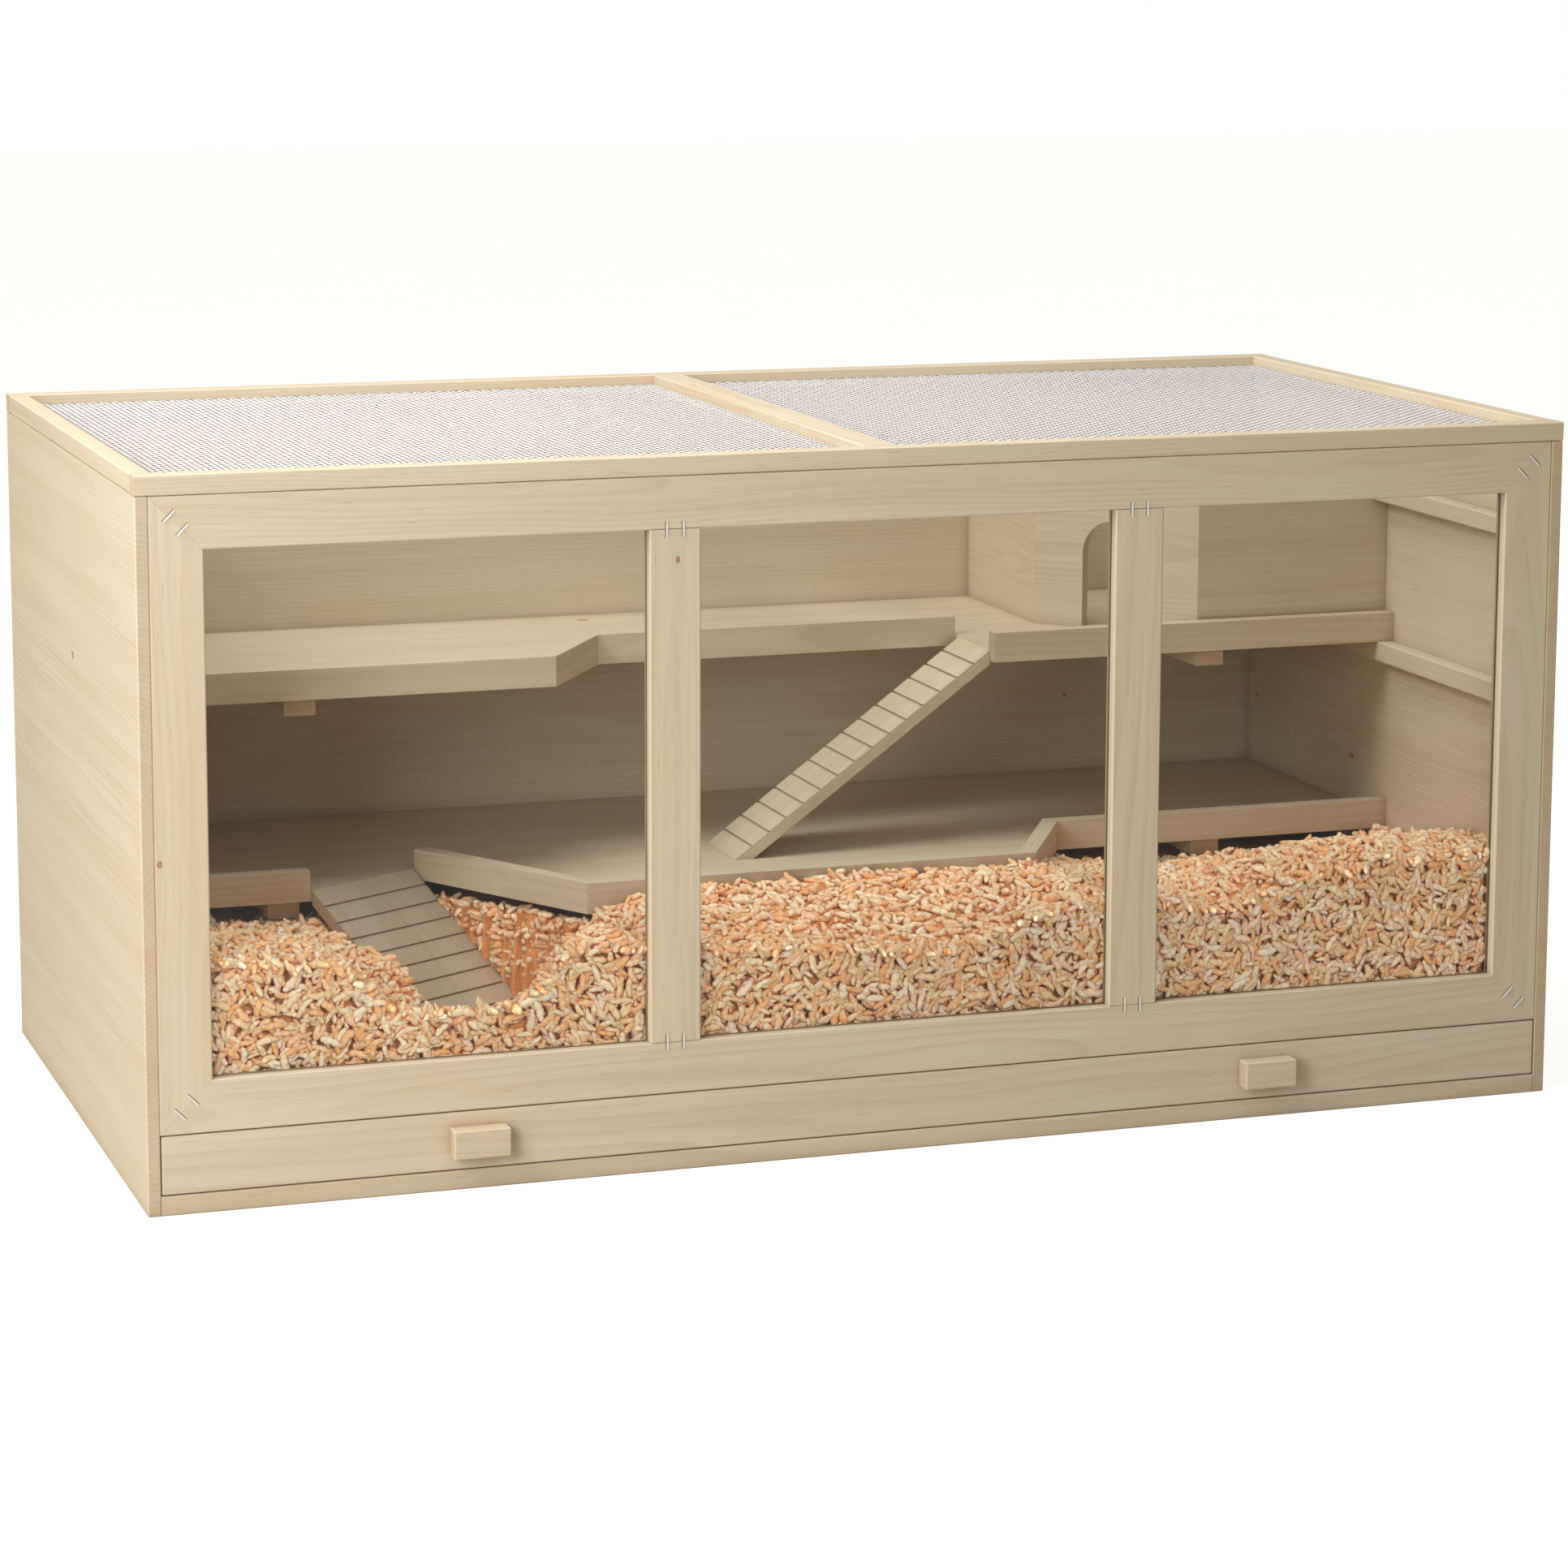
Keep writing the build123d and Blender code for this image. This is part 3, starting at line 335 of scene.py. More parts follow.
# Grain direction, then the direction the board's face looks
GRAIN = {
    "left_side_panel": (Y, X),
    "right_side_panel": (Y, X),
    "back_panel": (X, Y),
    "floor_board": (X, Z),
    "front_top_rail": (X, Y),
    "front_bottom_rail": (X, Y),
    "front_left_stile": (Z, Y),
    "front_right_stile": (Z, Y),
    "mullion_left": (Z, Y),
    "mullion_right": (Z, Y),
    "upper_battens": (Y, Z),
    "lower_battens": (Y, Z),
    "top_batten": (Y, Z),
    "upper_bearers": (Y, Z),
    "lower_bearers": (Y, Z),
    "upper_shelf": (X, Z),
    "upper_fascia_left": (X, Y),
    "upper_fascia_chamfer": (CHAMFER_DIR, CHAMFER_DIR.cross(Z)),
    "upper_fascia_middle": (X, Y),
    "upper_fascia_right": (X, Y),
    "lower_shelf": (X, Z),
    "lower_fascia_left": (X, Y),
    "lower_fascia_diagonal_left": (DOWN_RIGHT, DOWN_RIGHT.cross(Z)),
    "lower_fascia_front": (X, Y),
    "lower_fascia_diagonal_right": (UP_RIGHT, UP_RIGHT.cross(Z)),
    "lower_fascia_right": (X, Y),
    "hut_left_wall": (Y, X),
    "hut_door_wall": (DOOR_DIR, DOOR_DIR.cross(Z)),
    "hut_front_wall": (X, Y),
    "upper_ramp": sloping(-X),
    "lower_ramp": sloping(DOWN_RIGHT),
    "drawer_front": (X, Y),
    "drawer_sides": (Y, X),
    "drawer_back": (X, Y),
    "drawer_bottom": (X, Z),
    "drawer_knobs": (X, Y),
    "lid_front_rail": (X, Z),
    "lid_back_rail": (X, Z),
    "lid_side_rails": (Y, Z),
    "lid_centre_bar": (Y, Z),
    "lid_mesh_beads": (X, Z),
}
SMALL_KNOTS = 2.6
BIG_KNOTS = 5.0
NARROW = 0.045


def set_material(node, material):
    """Puts a material in every slot of a CAD node's object."""
    piece = frame["nodes"][node]
    if not piece.material_slots:
        piece.data.materials.append(material)
    for slot in piece.material_slots:
        slot.material = material


for seed, (node, (grain, face)) in enumerate(GRAIN.items()):
    low, high = (Vector(corner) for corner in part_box(node))
    wide = sorted(high - low)[1]
    knot = SMALL_KNOTS if wide < NARROW else BIG_KNOTS
    tones = {}
    if node == "drawer_bottom":
        tones = {"light": srgb(186, 146, 104), "dark": srgb(158, 116, 78)}
    # The lower ramp's tones are greyer and darker: painted shade, as it lies in shadow under the
    # shelf
    if node == "lower_ramp":
        tones = {"light": srgb(208, 197, 174), "dark": srgb(186, 170, 142)}
    board = wood(node, (low + high) / 2, grain, face, seed + 3, knot=knot, **tones)
    set_material(node, board)

for node in ("pane_left", "pane_middle", "pane_right"):
    set_material(node, PANE)
for node in ("hinge_lower_leaves", "hinge_upper_leaves", "hinge_pins"):
    set_material(node, STEEL)
set_material("frame_staples", STAPLE_WIRE)
crimp = frame["nodes"]["frame_staples"].modifiers.new("rounded", "BEVEL")
crimp.width = 0.25 * MM
crimp.segments = 2


# ---------------------------------------------------------------- mesh helpers
def new_piece(name, points, faces, material, body, smooth=True):
    """A mesh object that rides on a CAD body."""
    mesh = bpy.data.meshes.new(name)
    mesh.from_pydata(points, [], faces)
    mesh.materials.append(material)
    if smooth:
        mesh.polygons.foreach_set("use_smooth", [True] * len(mesh.polygons))
    mesh.update()
    piece = bpy.data.objects.new(name, mesh)
    bpy.context.scene.collection.objects.link(piece)
    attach(piece, body)
    return piece


# ---------------------------------------------------------------- lid mesh
WIRE_R = 0.45 * MM
PITCH = 5.0 * MM
WIRE_SIDES = 3
BENDS = 4


def weave(name, node, along):
    """All the wires of one mesh panel that run along axis 0 or 1, bent over and under."""
    low, high = (np.array(corner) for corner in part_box(node))
    other = 1 - along
    middle = (low[2] + high[2]) / 2
    count = int((high[other] - low[other]) / PITCH)
    length = high[along] - low[along]
    steps = int(length / PITCH * BENDS / 2)
    rng = np.random.RandomState(11 + along)
    run = np.linspace(low[along] + WIRE_R, high[along] - WIRE_R, steps + 1)
    start = (high[other] - low[other] - (count - 1) * PITCH) / 2 + low[other]
    turns = np.arange(WIRE_SIDES) * 2 * math.pi / WIRE_SIDES
    points = np.zeros((count, steps + 1, WIRE_SIDES, 3))
    sign = np.where(np.arange(count) % 2, -1, 1) * (1 if along else -1)
    phase = (run - low[along]) / PITCH * math.pi
    lift = sign[:, None] * np.cos(phase)[None, :] * WIRE_R
    stray = rng.normal(0, 0.12 * MM, count)
    place = start + np.arange(count) * PITCH + stray
    points[..., along] = run[None, :, None]
    points[..., other] = place[:, None, None] + WIRE_R * np.cos(turns)
    points[..., 2] = middle + lift[..., None] + WIRE_R * np.sin(turns)
    index = np.arange(count * (steps + 1) * WIRE_SIDES).reshape(count, steps + 1, WIRE_SIDES)
    after = np.roll(index, -1, axis=2)
    quads = [index[:, :-1], after[:, :-1], after[:, 1:], index[:, 1:]]
    faces = np.stack(quads, axis=-1).reshape(-1, 4)
    piece = new_piece(name, points.reshape(-1, 3).tolist(), faces.tolist(), MESH_WIRE, "lid")
    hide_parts(node)


for side in ("left", "right"):
    weave(f"mesh_{side}_long_wires", f"lid_mesh_{side}", 0)
    weave(f"mesh_{side}_cross_wires", f"lid_mesh_{side}", 1)


# ---------------------------------------------------------------- hinge screws
HEAD_RINGS = 10
HEAD_SIDES = 40
HEAD_R = 2.5 * MM
HEAD_H = 1.1 * MM
CROSS_R = 1.45 * MM
CROSS_W = 0.32 * MM
CROSS_D = 0.75 * MM


def screw_heads(name, node, body):
    """Domed cross-recess heads standing where the CAD screws are."""
    low, high = (Vector(corner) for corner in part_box(node))
    base_y, z = high.y - HEAD_H, (low.z + high.z) / 2
    pitch = 20 * MM
    inner = high.x - HEAD_R - 2 * pitch
    points, faces = [], []
    for x in [side * (inner + step * pitch) for side in (-1, 1) for step in range(3)]:
        first = len(points)
        for ring in range(HEAD_RINGS + 1):
            r = HEAD_R * ring / HEAD_RINGS
            for k in range(HEAD_SIDES):
                turn = 2 * math.pi * k / HEAD_SIDES
                dx, dz = r * math.cos(turn), r * math.sin(turn)
                height = HEAD_H * math.sqrt(max(0.0, 1 - (r / HEAD_R) ** 2 * 0.97))
                if r < CROSS_R and min(abs(dx), abs(dz)) < CROSS_W:
                    height -= CROSS_D * (1 - r / CROSS_R * 0.6)
                points.append((x + dx, base_y + height, z + dz))
        for ring in range(HEAD_RINGS):
            for k in range(HEAD_SIDES):
                a = first + ring * HEAD_SIDES + k
                b = first + ring * HEAD_SIDES + (k + 1) % HEAD_SIDES
                faces.append((a, b, b + HEAD_SIDES, a + HEAD_SIDES))
        last = first + HEAD_RINGS * HEAD_SIDES
        faces.append([last + k for k in range(HEAD_SIDES)])
    piece = new_piece(name, points, faces, STEEL, body)
    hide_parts(node)


screw_heads("screw_heads_lower", "hinge_screws_lower", "cabinet")
screw_heads("screw_heads_upper", "hinge_screws_upper", "lid")


# ---------------------------------------------------------------- bedding
bed_low, bed_high = (Vector(corner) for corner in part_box("cage_bedding"))
bed_mesh = frame["nodes"]["cage_bedding"].data
PANE_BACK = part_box("pane_left")[1][1]


def tenth(value):
    """To the nearest tenth of a millimetre."""
    return round(value, 4)


# Under the shelf the bedding lies this far below the battens on the side walls
UNDER_SHELF = tenth(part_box("lower_battens")[0][2] - 8 * MM)
# Beyond this the heap stays low enough to pass under those battens
BATTEN_X = tenth(bed_high.x - 30 * MM)

# The front edge of the lower shelf's strips from left to right, to the nearest millimetre in x
left_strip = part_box("lower_fascia_left")
left_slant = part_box("lower_fascia_diagonal_left")
front_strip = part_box("lower_fascia_front")
right_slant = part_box("lower_fascia_diagonal_right")
STRIP_THICK = front_strip[1][1] - front_strip[0][1]
SIDE_Y, FRONT_Y = tenth(left_strip[0][1]), tenth(front_strip[0][1])
SHELF_EDGE = (
    (bed_low.x, SIDE_Y),
    (round(left_strip[1][0], 3), SIDE_Y),
    (round(left_slant[0][0], 3), tenth(left_slant[1][1] - STRIP_THICK / 2)),
    (round(front_strip[0][0], 3), FRONT_Y),
    (round(front_strip[1][0], 3), FRONT_Y),
    (round(right_slant[1][0], 3), SIDE_Y),
    (bed_high.x, SIDE_Y),
)

# How high the heap meets the strips, over their lower edge. It follows the photographed heap.
STRIP_LOW = tenth(front_strip[0][2])
HEAP_RISE = (
    (bed_low.x, -15 * MM),
    (-400 * MM, -16 * MM),
    (-320 * MM, -20 * MM),
    (-204 * MM, 0),
    (-100 * MM, 14 * MM),
    (184 * MM, 14 * MM),
    (250 * MM, -8 * MM),
    (310 * MM, -19 * MM),
    (452 * MM, -15 * MM),
    (530 * MM, -8 * MM),
    (bed_high.x, -2 * MM),
)
LIP_HEIGHT = tuple((x, STRIP_LOW + rise) for x, rise in HEAP_RISE)

# The top edge of the CAD bedding against the windows
crest = sorted(
    {
        (round(v.co.x, 4), round(v.co.z, 4))
        for v in bed_mesh.vertices
        if abs(v.co.y - bed_low.y) < 0.1 * MM and v.co.z > UNDER_SHELF + 0.6 * MM
    }
)


def outline_at(outline, x):
    """Straight-line reading between the points of an outline."""
    return float(np.interp(x, [p[0] for p in outline], [p[1] for p in outline]))


def ease(value):
    """A smooth step from 0 to 1."""
    value = min(1.0, max(0.0, value))
    return value * value * (3 - 2 * value)


# The middle of the lower ramp's top edge, measured from its box's rear left corner
ramp_low, ramp_high = (Vector(corner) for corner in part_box("lower_ramp"))
RAMP_START = Vector((tenth(ramp_low.x + 48.5 * MM), tenth(ramp_high.y - 27.95 * MM), 0))
RAMP_TOP_Z = tenth(ramp_high.z)
RAMP_HALF = 56 * MM
# The hollow the ramp stands in: its floor, its length along the ramp and how it fades out
HOLLOW_Z = 78 * MM
HOLLOW_RUN = 158 * MM
HOLLOW_FADE = 40 * MM
HOLLOW_LEAD = 40 * MM
SIDE_GAP = 2 * MM
SIDE_FADE = 30 * MM
UNDER_RAMP = 22 * MM
RAMP_FOOT = RAMP_START + DOWN_RIGHT * HOLLOW_RUN
# The hollow's mouth towards the window, and the dip in the heap behind the pane there
MOUTH_X = -328 * MM
MOUTH_HALF = 46 * MM
MOUTH_FADE = 42 * MM
DIP_HALF = 45 * MM
DIP_FADE = 40 * MM
DIP_DEPTH = 9 * MM
# The heap behind the strips sinks to its height under the shelf
BEHIND_STRIP = 5 * MM
BEHIND_MOST = STRIP_LOW - 10 * MM
BEHIND_FADE = 60 * MM
CROWN = 3 * MM
ROUGH = 3.4 * MM
ROUGH_BEHIND = 1.2 * MM
ROUGH_SCALE = 14


def front_top(x):
    """Height of the bedding against the windows, lowest in front of the lower ramp."""
    dip = 1 - ease((abs(x - MOUTH_X) - DIP_HALF) / DIP_FADE)
    return outline_at(crest, x) - DIP_DEPTH * dip


def bed_height(x, y):
    """Height of the loose bedding at a place on the floor of the cage."""
    edge = outline_at(SHELF_EDGE, x)
    rough = noise.fractal(Vector((x * ROUGH_SCALE, y * ROUGH_SCALE, 3)), 0.8, 2.0, 3)
    if y > edge:
        heap = min(outline_at(LIP_HEIGHT, x) - BEHIND_STRIP, BEHIND_MOST)
        if abs(x) > BATTEN_X:
            heap = UNDER_SHELF
        fade = ease((y - edge) / BEHIND_FADE)
        return heap + (UNDER_SHELF - heap) * fade + ROUGH_BEHIND * min(0.0, rough)
    front = front_top(x)
    deep = (y - PANE_BACK) / (edge - PANE_BACK)
    height = front + (outline_at(LIP_HEIGHT, x) - front) * ease((deep - 0.12) / 0.88)
    height += CROWN * math.sin(math.pi * min(1, deep * 1.3)) + ROUGH * rough
    # The hollow round the ramp
    offset = Vector((x, y, 0)) - RAMP_START
    run = offset.dot(DOWN_RIGHT)
    aside = abs(offset.dot(RAMP_EDGE))
    slope = RAMP_TOP_Z - UNDER_RAMP - run * math.tan(RAMP_TILT)
    beside = 1 - ease((aside - RAMP_HALF - SIDE_GAP) / SIDE_FADE)
    before = ease((run + HOLLOW_LEAD) / SIDE_FADE)
    beyond = 1 - ease((run - HOLLOW_RUN) / HOLLOW_FADE)
    dip = beside * before * beyond
    on_slope = height + (max(HOLLOW_Z, slope) - height) * dip
    # Its mouth between the ramp's foot and the window
    out = min(1.0, max(0.0, (RAMP_FOOT.y - y) / (RAMP_FOOT.y - PANE_BACK)))
    middle = RAMP_FOOT.x + (MOUTH_X - RAMP_FOOT.x) * out
    beside = 1 - ease((abs(x - middle) - MOUTH_HALF) / MOUTH_FADE)
    dip = beside * (1 - out) * (y < RAMP_FOOT.y)
    in_front = height + (HOLLOW_Z - height) * dip
    return min(height, on_slope, in_front)


def bed_solid(name, node, body, low, high, top, step):
    """A closed bed with a flat bottom and a top that follows a height function."""
    nx = int((high.x - low.x) / step) + 1
    ny = int((high.y - low.y) / step) + 1
    xs = np.linspace(low.x, high.x, nx)
    ys = np.linspace(low.y, high.y, ny)
    points = [(x, y, top(x, y)) for x in xs for y in ys]
    points += [(x, y, low.z) for x in xs for y in ys]
    under = nx * ny
    faces = []
    for i in range(nx - 1):
        for j in range(ny - 1):
            a = i * ny + j
            faces.append((a, a + ny, a + ny + 1, a + 1))
            faces.append((under + a, under + a + 1, under + a + ny + 1, under + a + ny))
    rim = [i * ny for i in range(nx)] + [(nx - 1) * ny + j for j in range(1, ny)]
    rim += [i * ny + ny - 1 for i in range(nx - 2, -1, -1)] + [j for j in range(ny - 2, 0, -1)]
    for a, b in zip(rim, rim[1:] + rim[:1]):
        faces.append((b, a, a + under, b + under))
    piece = new_piece(name, points, faces, BED, body)
    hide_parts(node)
    return piece


GRAIN_RINGS = 6
GRAIN_SIDES = 6
GRAIN_KINDS = 7
GRAIN_HALF = (6.2, 10.4)


def granule_shapes(rng):
    """A few lumpy grains, each about one unit from middle to tip."""
    shapes = []
    for kind in range(GRAIN_KINDS):
        bend = rng.uniform(-0.42, 0.42)
        points = [(-1.0, bend, 0.0)]
        for ring in range(GRAIN_RINGS):
            u = -0.78 + 1.56 * ring / (GRAIN_RINGS - 1)
            thick = 0.36 * math.sqrt(max(0.1, 1 - u * u * 0.82))
            drift = bend * u * u
            for k in range(GRAIN_SIDES):
                turn = 2 * math.pi * (k + 0.5 * (ring % 2)) / GRAIN_SIDES
                r = thick * rng.uniform(0.8, 1.18)
                points.append(
                    (u + rng.uniform(-0.05, 0.05), drift + r * math.cos(turn), r * math.sin(turn))
                )
        points.append((1.0, bend, 0.0))
        shapes.append(points)
    faces = []
    for k in range(GRAIN_SIDES):
        after = (k + 1) % GRAIN_SIDES
        faces.append((0, 1 + after, 1 + k))
        last = 1 + (GRAIN_RINGS - 1) * GRAIN_SIDES
        faces.append((last + k, last + after, last + GRAIN_SIDES))
        for ring in range(GRAIN_RINGS - 1):
            a = 1 + ring * GRAIN_SIDES
            b = a + GRAIN_SIDES
            quad = (a + k, a + after, b + after, b + k)
            faces.append((quad[0], quad[1], quad[2]))
            faces.append((quad[0], quad[2], quad[3]))
    return np.array(shapes), np.array(faces)


grain_rng = np.random.RandomState(5)
GRAIN_SHAPES, GRAIN_FACES = granule_shapes(grain_rng)


def granules(name, body, spots, tilt, front_limit=None):
    """Scatters grains at the given places. tilt is how far they stand out of their layer's plane;
    front_limit keeps them behind a window pane."""
    spots = np.array(spots)
    count = len(spots)
    kind = grain_rng.randint(GRAIN_KINDS, size=count)
    half = grain_rng.uniform(*GRAIN_HALF, count) * MM
    spin = grain_rng.uniform(0, 2 * math.pi, count)
    lean = grain_rng.normal(0, tilt, count)
    roll = grain_rng.uniform(0, 2 * math.pi, count)
    shape = GRAIN_SHAPES[kind] * half[:, None, None]
    shape[..., 1:] *= grain_rng.uniform(0.75, 1.15, (count, 1, 2))
    y, z = shape[..., 1].copy(), shape[..., 2].copy()
    shape[..., 1] = y * np.cos(roll)[:, None] - z * np.sin(roll)[:, None]
    shape[..., 2] = y * np.sin(roll)[:, None] + z * np.cos(roll)[:, None]
    x, z = shape[..., 0].copy(), shape[..., 2].copy()
    shape[..., 0] = x * np.cos(lean)[:, None] + z * np.sin(lean)[:, None]
    shape[..., 2] = -x * np.sin(lean)[:, None] + z * np.cos(lean)[:, None]
    x, y = shape[..., 0].copy(), shape[..., 1].copy()
    shape[..., 0] = x * np.cos(spin)[:, None] - y * np.sin(spin)[:, None]
    shape[..., 1] = x * np.sin(spin)[:, None] + y * np.cos(spin)[:, None]
    if front_limit is not None:
        shape = shape[..., [0, 2, 1]] * np.array([1, -0.7, 1])
    points = shape + spots[:, None, :]
    if front_limit is not None:
        points[..., 1] = np.maximum(points[..., 1], front_limit)
    size = points.shape[1]
    faces = GRAIN_FACES[None] + (np.arange(count) * size)[:, None, None]
    points = points.reshape(-1, 3)
    points[:, 0] = np.clip(points[:, 0], bed_low.x + 0.2 * MM, bed_high.x - 0.2 * MM)
    return new_piece(name, points.tolist(), faces.reshape(-1, 3).tolist(), GRANULES, body)


# The bed starts behind the grains that lie against the windows
BED_SETBACK = 6 * MM
BED_STEP = 6 * MM
bed_base_low = Vector((bed_low.x, bed_low.y + BED_SETBACK, bed_low.z))
bed_solid("cage_bed", "cage_bedding", "cabinet", bed_base_low, bed_high, bed_height, BED_STEP)

TOP_TILT = 0.35
WINDOW_TILT = 0.25
TOP_STEP = 7.8 * MM
TOP_SPACING = TOP_STEP * 1.25
WINDOW_SPACING = TOP_STEP * 1.2
LAYERS = 2
WINDOW_LAYERS = 3
STEEP = 5 * MM
WALL_GAP = 3 * MM
PANE_GAP = 4 * MM
PANE_LAP = 8 * MM
TOP_LIFT = (-1.5, 3.0)
BEHIND_PANE = (2.5, 6.0)
UNDER_REACH = 32 * MM
window_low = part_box("front_bottom_rail")[1][2]
spot_rng = random.Random(8)
top_spots = []
for layer in range(LAYERS):
    x = bed_low.x + WALL_GAP
    while x < bed_high.x - WALL_GAP:
        y = PANE_BACK + PANE_GAP
        edge = outline_at(SHELF_EDGE, x)
        while y < edge + UNDER_REACH:
            px = x + spot_rng.uniform(-0.5, 0.5) * TOP_STEP
            py = y + spot_rng.uniform(-0.5, 0.5) * TOP_STEP
            lift = spot_rng.uniform(*TOP_LIFT) * MM
            here = bed_height(px, py)
            around = ((STEEP, 0), (-STEEP, 0), (0, -STEEP))
            lowest = min(bed_height(px + dx, py + dy) for dx, dy in around)
            drop = 0
            # Steep banks take grains down their face as well
            while here - drop > min(lowest, here - 1 * MM):
                top_spots.append((px, py, here - drop + lift))
                drop += STEEP
            y += TOP_SPACING
        x += TOP_SPACING


RAMP_CLEAR = 4 * MM
RAMP_SPAN = (-5 * MM, 140 * MM)
GRAIN_REACH = 20 * MM


def on_ramp(x, y, z):
    """True where a grain would stick up through the lower ramp."""
    offset = Vector((x, y, 0)) - RAMP_START
    run = offset.dot(DOWN_RIGHT)
    aside = abs(offset.dot(RAMP_EDGE))
    top = RAMP_TOP_Z - run * math.tan(RAMP_TILT)
    over = aside < RAMP_HALF + RAMP_CLEAR and RAMP_SPAN[0] < run < RAMP_SPAN[1]
    return over and z > top - GRAIN_REACH


top_spots = [spot for spot in top_spots if not on_ramp(*spot)]

# Bedding banked up against the ramp's right edge, under the shelf
BANK_STEPS = 26
BANK_LAYERS = 3
BANK_START = 26 * MM
BANK_PITCH = 5.5 * MM
BANK_GAP = 7 * MM
BANK_SPREAD = 5 * MM
BANK_SINK = 12 * MM
BANK_TOP = 152 * MM
BANK_JITTER = 2.5
for step in range(BANK_STEPS):
    run = BANK_START + BANK_PITCH * step
    for layer in range(BANK_LAYERS):
        side = RAMP_HALF + BANK_GAP + BANK_SPREAD * layer
        foot = RAMP_START + DOWN_RIGHT * run + RAMP_EDGE * side
        z = max(HOLLOW_Z, RAMP_TOP_Z - run * math.tan(RAMP_TILT) - BANK_SINK)
        while z < BANK_TOP:
            jitter = [spot_rng.uniform(-BANK_JITTER, BANK_JITTER) * MM for _ in range(3)]
            top_spots.append((foot.x + jitter[0], foot.y + jitter[1], z + jitter[2]))
            z += BANK_PITCH
thirds = np.array_split(np.array(sorted(top_spots)), 3)
for part, third in zip(("left", "middle", "right"), thirds):
    granules(f"granules_top_{part}", "cabinet", third, TOP_TILT)

front_spots = []
for pane in ("pane_left", "pane_middle", "pane_right"):
    span_low, span_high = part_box(pane)
    for layer in range(WINDOW_LAYERS):
        x = max(span_low[0] + PANE_LAP, bed_low.x + WALL_GAP)
        while x < min(span_high[0] - PANE_LAP, bed_high.x - WALL_GAP):
            z = window_low - PANE_GAP
            while z < front_top(x) + 1 * MM:
                px = x + spot_rng.uniform(-0.5, 0.5) * TOP_STEP
                pz = z + spot_rng.uniform(-0.5, 0.5) * TOP_STEP
                front_spots.append((px, PANE_BACK + spot_rng.uniform(*BEHIND_PANE) * MM, pz))
                z += WINDOW_SPACING
            x += WINDOW_SPACING
halves = np.array_split(np.array(sorted(front_spots)), 2)
for part, half in zip(("left", "right"), halves):
    granules(f"granules_window_{part}", "cabinet", half, WINDOW_TILT, PANE_BACK + 0.2 * MM)

tray_low, tray_high = (Vector(corner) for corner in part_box("tray_bedding"))
TRAY_BED_STEP = 9 * MM
TRAY_SINK = 3.5 * MM
TRAY_ROUGH = 2.2 * MM
TRAY_LIFT = (-0.8, 1.2)


def tray_height(x, y):
    """Height of the bedding lying in the drawer."""
    rough = noise.fractal(Vector((x * 11, y * 11, 9)), 0.8, 2.0, 3)
    return tray_high.z - TRAY_SINK + TRAY_ROUGH * rough


bed_solid("tray_bed", "tray_bedding", "drawer", tray_low, tray_high, tray_height, TRAY_BED_STEP)
TRAY_STEP = 10.5 * MM
TRAY_TILT = 0.12
TRAY_GAP_X, TRAY_GAP_Y = 6 * MM, 7 * MM
tray_spots = []
x = tray_low.x + TRAY_GAP_X
while x < tray_high.x - TRAY_GAP_X:
    y = tray_low.y + TRAY_GAP_Y
    while y < tray_high.y - TRAY_GAP_Y:
        px = x + spot_rng.uniform(-0.4, 0.4) * TRAY_STEP
        py = y + spot_rng.uniform(-0.4, 0.4) * TRAY_STEP
        tray_spots.append((px, py, tray_height(px, py) + spot_rng.uniform(*TRAY_LIFT) * MM))
        y += TRAY_STEP
    x += TRAY_STEP
halves = np.array_split(np.array(sorted(tray_spots)), 2)
for part, half in zip(("left", "right"), halves):
    granules(f"granules_tray_{part}", "drawer", half, TRAY_TILT)


# ---------------------------------------------------------------- floor, light, camera
# How strongly the floor glows, for other rays and for the camera's own
FLOOR_GLOW = (0.05, 0.85)


def floor_material():
    """A pale studio floor with a faint paper mottle."""
    sh = Shade("studio_floor")
    place = sh.node("TexCoord").outputs["Object"]
    mottle = sh.noise(place, 3, 2)
    colour = sh.mix(mottle, (0.42, 0.40, 0.36, 1), (0.45, 0.43, 0.39, 1))
    seen = sh.node("LightPath").outputs["Is Camera Ray"]
    glow = {"Emission_Color": (1, 1, 1, 1), "Emission_Strength": sh.fit(seen, 0, 1, *FLOOR_GLOW)}
    return sh.finish(colour, sh.fit(mottle, 0, 1, 0.8, 0.95), **glow)


AMBIENT = 0.33
AMBIENT_TINT = (1, 0.92, 0.80, 1)
FLOOR_HALF = 14
FLOOR_Z = -0.2 * MM
corners = [(-FLOOR_HALF, -FLOOR_HALF), (FLOOR_HALF, -FLOOR_HALF), (FLOOR_HALF, FLOOR_HALF)]
corners.append((-FLOOR_HALF, FLOOR_HALF))
floor_mesh = bpy.data.meshes.new("studio_floor")
floor_mesh.from_pydata([(x, y, FLOOR_Z) for x, y in corners], [], [(0, 1, 2, 3)])
floor_mesh.materials.append(floor_material())
floor = bpy.data.objects.new("studio_floor", floor_mesh)
bpy.context.scene.collection.objects.link(floor)

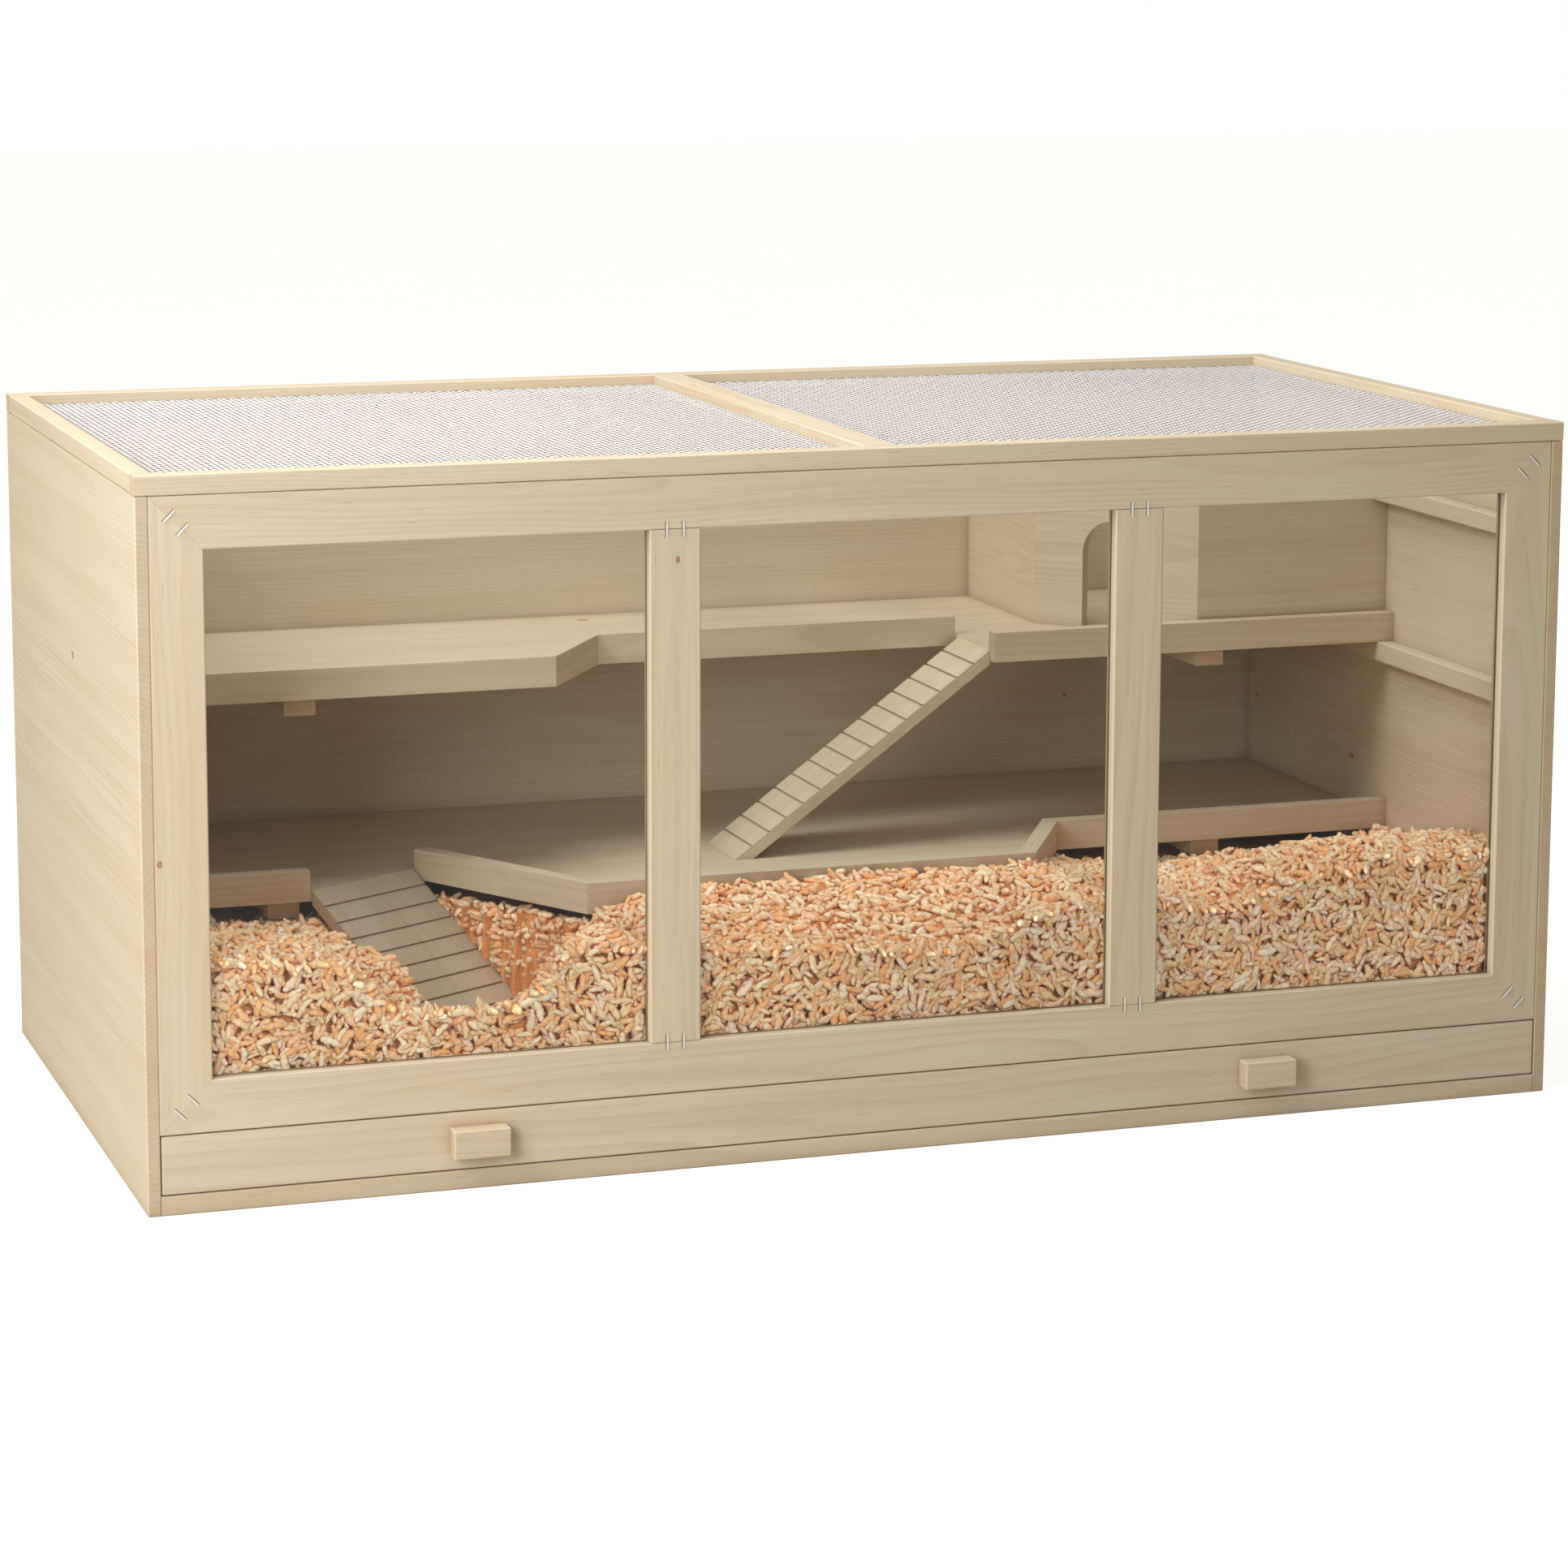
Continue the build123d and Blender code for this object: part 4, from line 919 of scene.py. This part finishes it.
world = bpy.data.worlds.new("studio")
world.use_nodes = True
sky = world.node_tree
seen = sky.nodes.new("ShaderNodeLightPath").outputs["Is Camera Ray"]
backdrop = sky.nodes.new("ShaderNodeBackground")
backdrop.inputs["Color"].default_value = (1, 1, 1, 1)
dim = sky.nodes["Background"]
dim.inputs["Color"].default_value = AMBIENT_TINT
dim.inputs["Strength"].default_value = AMBIENT
either = sky.nodes.new("ShaderNodeMixShader")
sky.links.new(seen, either.inputs[0])
sky.links.new(dim.outputs[0], either.inputs[1])
sky.links.new(backdrop.outputs[0], either.inputs[2])
sky.links.new(either.outputs[0], sky.nodes["World Output"].inputs["Surface"])
bpy.context.scene.world = world


def soft_light(name, place, target, size, power, tint=(1, 1, 1)):
    """A square soft box aimed at a point."""
    lamp = bpy.data.lights.new(name, "AREA")
    lamp.size = size
    lamp.energy = power
    lamp.color = tint
    holder = bpy.data.objects.new(name, lamp)
    holder.location = place
    aim = Vector(target) - Vector(place)
    holder.rotation_euler = aim.to_track_quat("-Z", "Y").to_euler()
    bpy.context.scene.collection.objects.link(holder)
    return holder


KEY_TINT = (1.0, 0.99, 0.97)
soft_light("key", (-1.9, -0.5, 2.0), (0.1, 0, 0.3), size=0.9, power=38, tint=KEY_TINT)
soft_light("fill", (-1.5, -1.6, 0.8), (-0.3, -0.2, 0.25), size=0.8, power=21)
soft_light("top", (-0.3, -0.1, 2.2), (0, 0, 0.3), size=1.2, power=24)

# Lights only the cage's bedding, which is a sixth to a quarter darker behind the windows without
BED_AIM = (0.1, -0.2, 0.15)
bed_lamp = soft_light("bedding_lamp", (0.1, -2.6, 1.2), BED_AIM, size=0.5, power=27)
lit = bpy.data.collections.new("lit_bedding")
for piece in bpy.data.objects:
    if piece.name.startswith(("granules_top", "granules_window", "cage_bed")):
        if piece.name != "cage_bedding":
            lit.objects.link(piece)
bed_lamp.light_linking.receiver_collection = lit

# Seen from the front left, a little above the lid
SENSOR_WIDTH = 36
LENS = 102.487
LENS_SHIFT = -0.1
CAMERA_PLACE = (-1.15495, -3.44366, 0.9557)
CAMERA_TURN = (1.410438, -0.003127, -0.327152)
eye = bpy.data.cameras.new("photo_view")
eye.sensor_width = SENSOR_WIDTH
eye.lens = LENS
eye.shift_y = LENS_SHIFT
camera = bpy.data.objects.new("photo_view", eye)
camera.location = CAMERA_PLACE
camera.rotation_euler = CAMERA_TURN
bpy.context.scene.collection.objects.link(camera)
bpy.context.scene.camera = camera
bpy.context.scene.view_settings.view_transform = "Standard"
